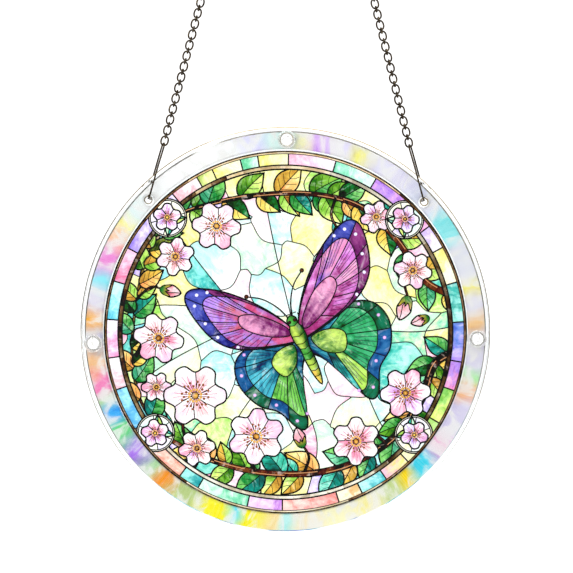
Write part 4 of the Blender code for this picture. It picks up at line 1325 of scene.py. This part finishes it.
bronze = makeAntiqueBronze()
ringPath = circle(chain["ringRadius"] - 0.08 * mm, 64)     # rounder than the solid's, so a hair smaller
mesh = joined("ring", [wireLoop(ringPath, chain["ringWire"], 14, Matrix.Translation(ringCentre))])
addPiece("bronze_ring", mesh, bronze, ["hanging_ring"], smoothTo=60)
oval, small = link(chain["ovalLength"], chain["ovalWidth"]), link(chain["smallLength"], chain["smallWidth"])
for name, side in (("left", -1), ("right", 1)):
    hang = Matrix.Translation(ringCentre) @ Matrix.Rotation(-side * lean, 4, "Y")
    dice = random.Random(5 + side)
    loops = []
    for at in range(chain["pitches"] + 1):
        twist = radians(dice.uniform(-7, 7)) if at < chain["pitches"] else 0
        sit = Matrix.Translation((0, 0, -(secondLink + at * pitch))) @ Matrix.Rotation(twist, 4, "Z")
        loops.append(wireLoop(oval, chain["wire"] / 2, 8, hang @ sit))
    for at in [firstLink] + [secondLink + (at + 0.5) * pitch for at in range(chain["pitches"])]:
        twist = pi / 2 + radians(dice.uniform(-7, 7))
        sit = Matrix.Translation((0, 0, -at)) @ Matrix.Rotation(twist, 4, "Z")
        loops.append(wireLoop(oval if at == firstLink else small, chain["wire"] / 2, 8, hang @ sit))
    mesh = joined("chain", loops)
    addPiece("bronze_chain_" + name, mesh, bronze, ["chain_" + name], smoothTo=60)
    mesh = roundWire("hook", hookPath(side), hooks["wire"], hang)
    addPiece("bronze_hook_" + name, mesh, bronze, ["wire_hook_" + name], smoothTo=60)
print("hangers: ring, two chains, two hooks")


# The white studio: lengths in metres, angles in degrees.
stage = dict(
    floorDrop=0.16, floorSize=6.0, floorFront=0.4,
    camera=0.545, elevation=4.0, roll=0.4, aim=(0.0004, 0.0225),    # where it stands and looks
    focal=1117, side=573,                    # focal length and width of the frame, in one unit
    light=2.1,                               # strength of the studio's white walls
    seenShare=0.62, throughShare=0.6,        # of it when seen directly, and straight through the clear sheets
    cardEdge=(34, 24), cardShare=0.03,       # how far the dark card round the camera reaches, how dark it is
)


def setUp(thing, name, spot, look, roll=0.0):
    # lamp or camera that stands at a point and looks along a vector
    made = bpy.data.objects.new(name, thing)
    bpy.context.scene.collection.objects.link(made)
    made.location = spot
    made.rotation_mode = "QUATERNION"
    turned = look.to_track_quat("-Z", "Y")
    if roll:
        turned = turned @ Matrix.Rotation(radians(roll), 3, "Z").to_quaternion()
    made.rotation_quaternion = turned
    return made


# Matt white paint, faintly uneven.
floorPaint = makeMottled("paintedStudioFloor", 125 * mm, "#f6f6f6", "#fbfbfb", {"Roughness": 0.8})
floorMesh = bpy.data.meshes.new("floor")
half = stage["floorSize"] / 2
low = discCentre.z - disc["radius"] - stage["floorDrop"]
front = -stage["floorFront"]     # no floor before this, where the clear sheets would mirror it
floorMesh.from_pydata([(-half, front, low), (half, front, low), (half, half, low), (-half, half, low)], [],
                      [(0, 1, 2, 3)])
floorMesh.materials.append(floorPaint)
floor = bpy.data.objects.new("floor", floorMesh)
bpy.context.scene.collection.objects.link(floor)

world = bpy.data.worlds.new("studio")
bpy.context.scene.world = world
world.use_nodes = True
tree = world.node_tree
rise = radians(stage["elevation"])
direction = addNode(tree, "TexCoord").outputs["Generated"]
# a dark card round the camera keeps its reflection out of the clear sheets
facing = addNode(tree, "VectorMath", {0: direction, 1: (0, -cos(rise), -sin(rise))},
                 operation="DOT_PRODUCT").outputs["Value"]
start, end = [cos(radians(angle)) for angle in stage["cardEdge"]]
card = addNode(tree, "MapRange", {"Value": facing, "From Min": start, "From Max": end, "To Min": 1.0,
                                  "To Max": stage["cardShare"]}).outputs[0]
# darker walls to the sides draw the edges of the clear sheets
depth = addNode(tree, "SeparateXYZ", {0: direction}).outputs[1]
ahead = addNode(tree, "Math", {0: depth}, operation="ABSOLUTE").outputs[0]
sides = addNode(tree, "ValToRGB", {0: ahead}, ((0.08, "#4a4a4e"), (0.4, "#ffffff"))).outputs[0]
walls = addNode(tree, "Mix", {0: 1.0, 6: sides, 7: card}, data_type="RGBA", blend_type="MULTIPLY").outputs[2]
# less bright when seen directly or straight through the clear sheets: thin edges before it stay whole
seen = addNode(tree, "LightPath").outputs
bounces = addNode(tree, "Math", {0: seen["Diffuse Depth"], 1: seen["Glossy Depth"]},
                  operation="ADD").outputs[0]
through = addNode(tree, "MapRange", {"Value": bounces, "To Min": stage["throughShare"]}).outputs[0]
dimmed = addNode(tree, "Mix", {0: 1.0, 6: walls, 7: through}, data_type="RGBA",
                 blend_type="MULTIPLY").outputs[2]
backdrop = addNode(tree, "Mix", {0: seen["Is Camera Ray"], 6: dimmed, 7: (*[stage["seenShare"]] * 3, 1)},
                   data_type="RGBA").outputs[2]
setInputs(tree, tree.nodes["Background"], {"Color": backdrop, "Strength": stage["light"]})
for name, offset, size, power in (("keyLight", (-0.85, -1.15, 0.62), 1.0, 20),
                                  ("overheadLight", (0.2, 0.1, 1.1), 1.6, 28)):
    lamp = bpy.data.lights.new(name, "AREA")
    lamp.shape, lamp.size, lamp.energy = "SQUARE", size, power
    setUp(lamp, name, discCentre + Vector(offset), -Vector(offset))

lens = bpy.data.cameras.new("camera")
lens.sensor_width = 36
lens.lens = 36 * stage["focal"] / stage["side"]
lens.clip_start, lens.clip_end = 0.01, 50
front = Vector((discCentre.x, coverBox[0].y, discCentre.z))
aim = front + Vector((stage["aim"][0], 0, stage["aim"][1]))
stand = front + stage["camera"] * Vector((0, -cos(rise), sin(rise)))
bpy.context.scene.camera = setUp(lens, "camera", stand, aim - stand, stage["roll"])
bpy.context.scene.view_settings.view_transform = "Standard"
print("studio: floor, walls, two lamps, camera")
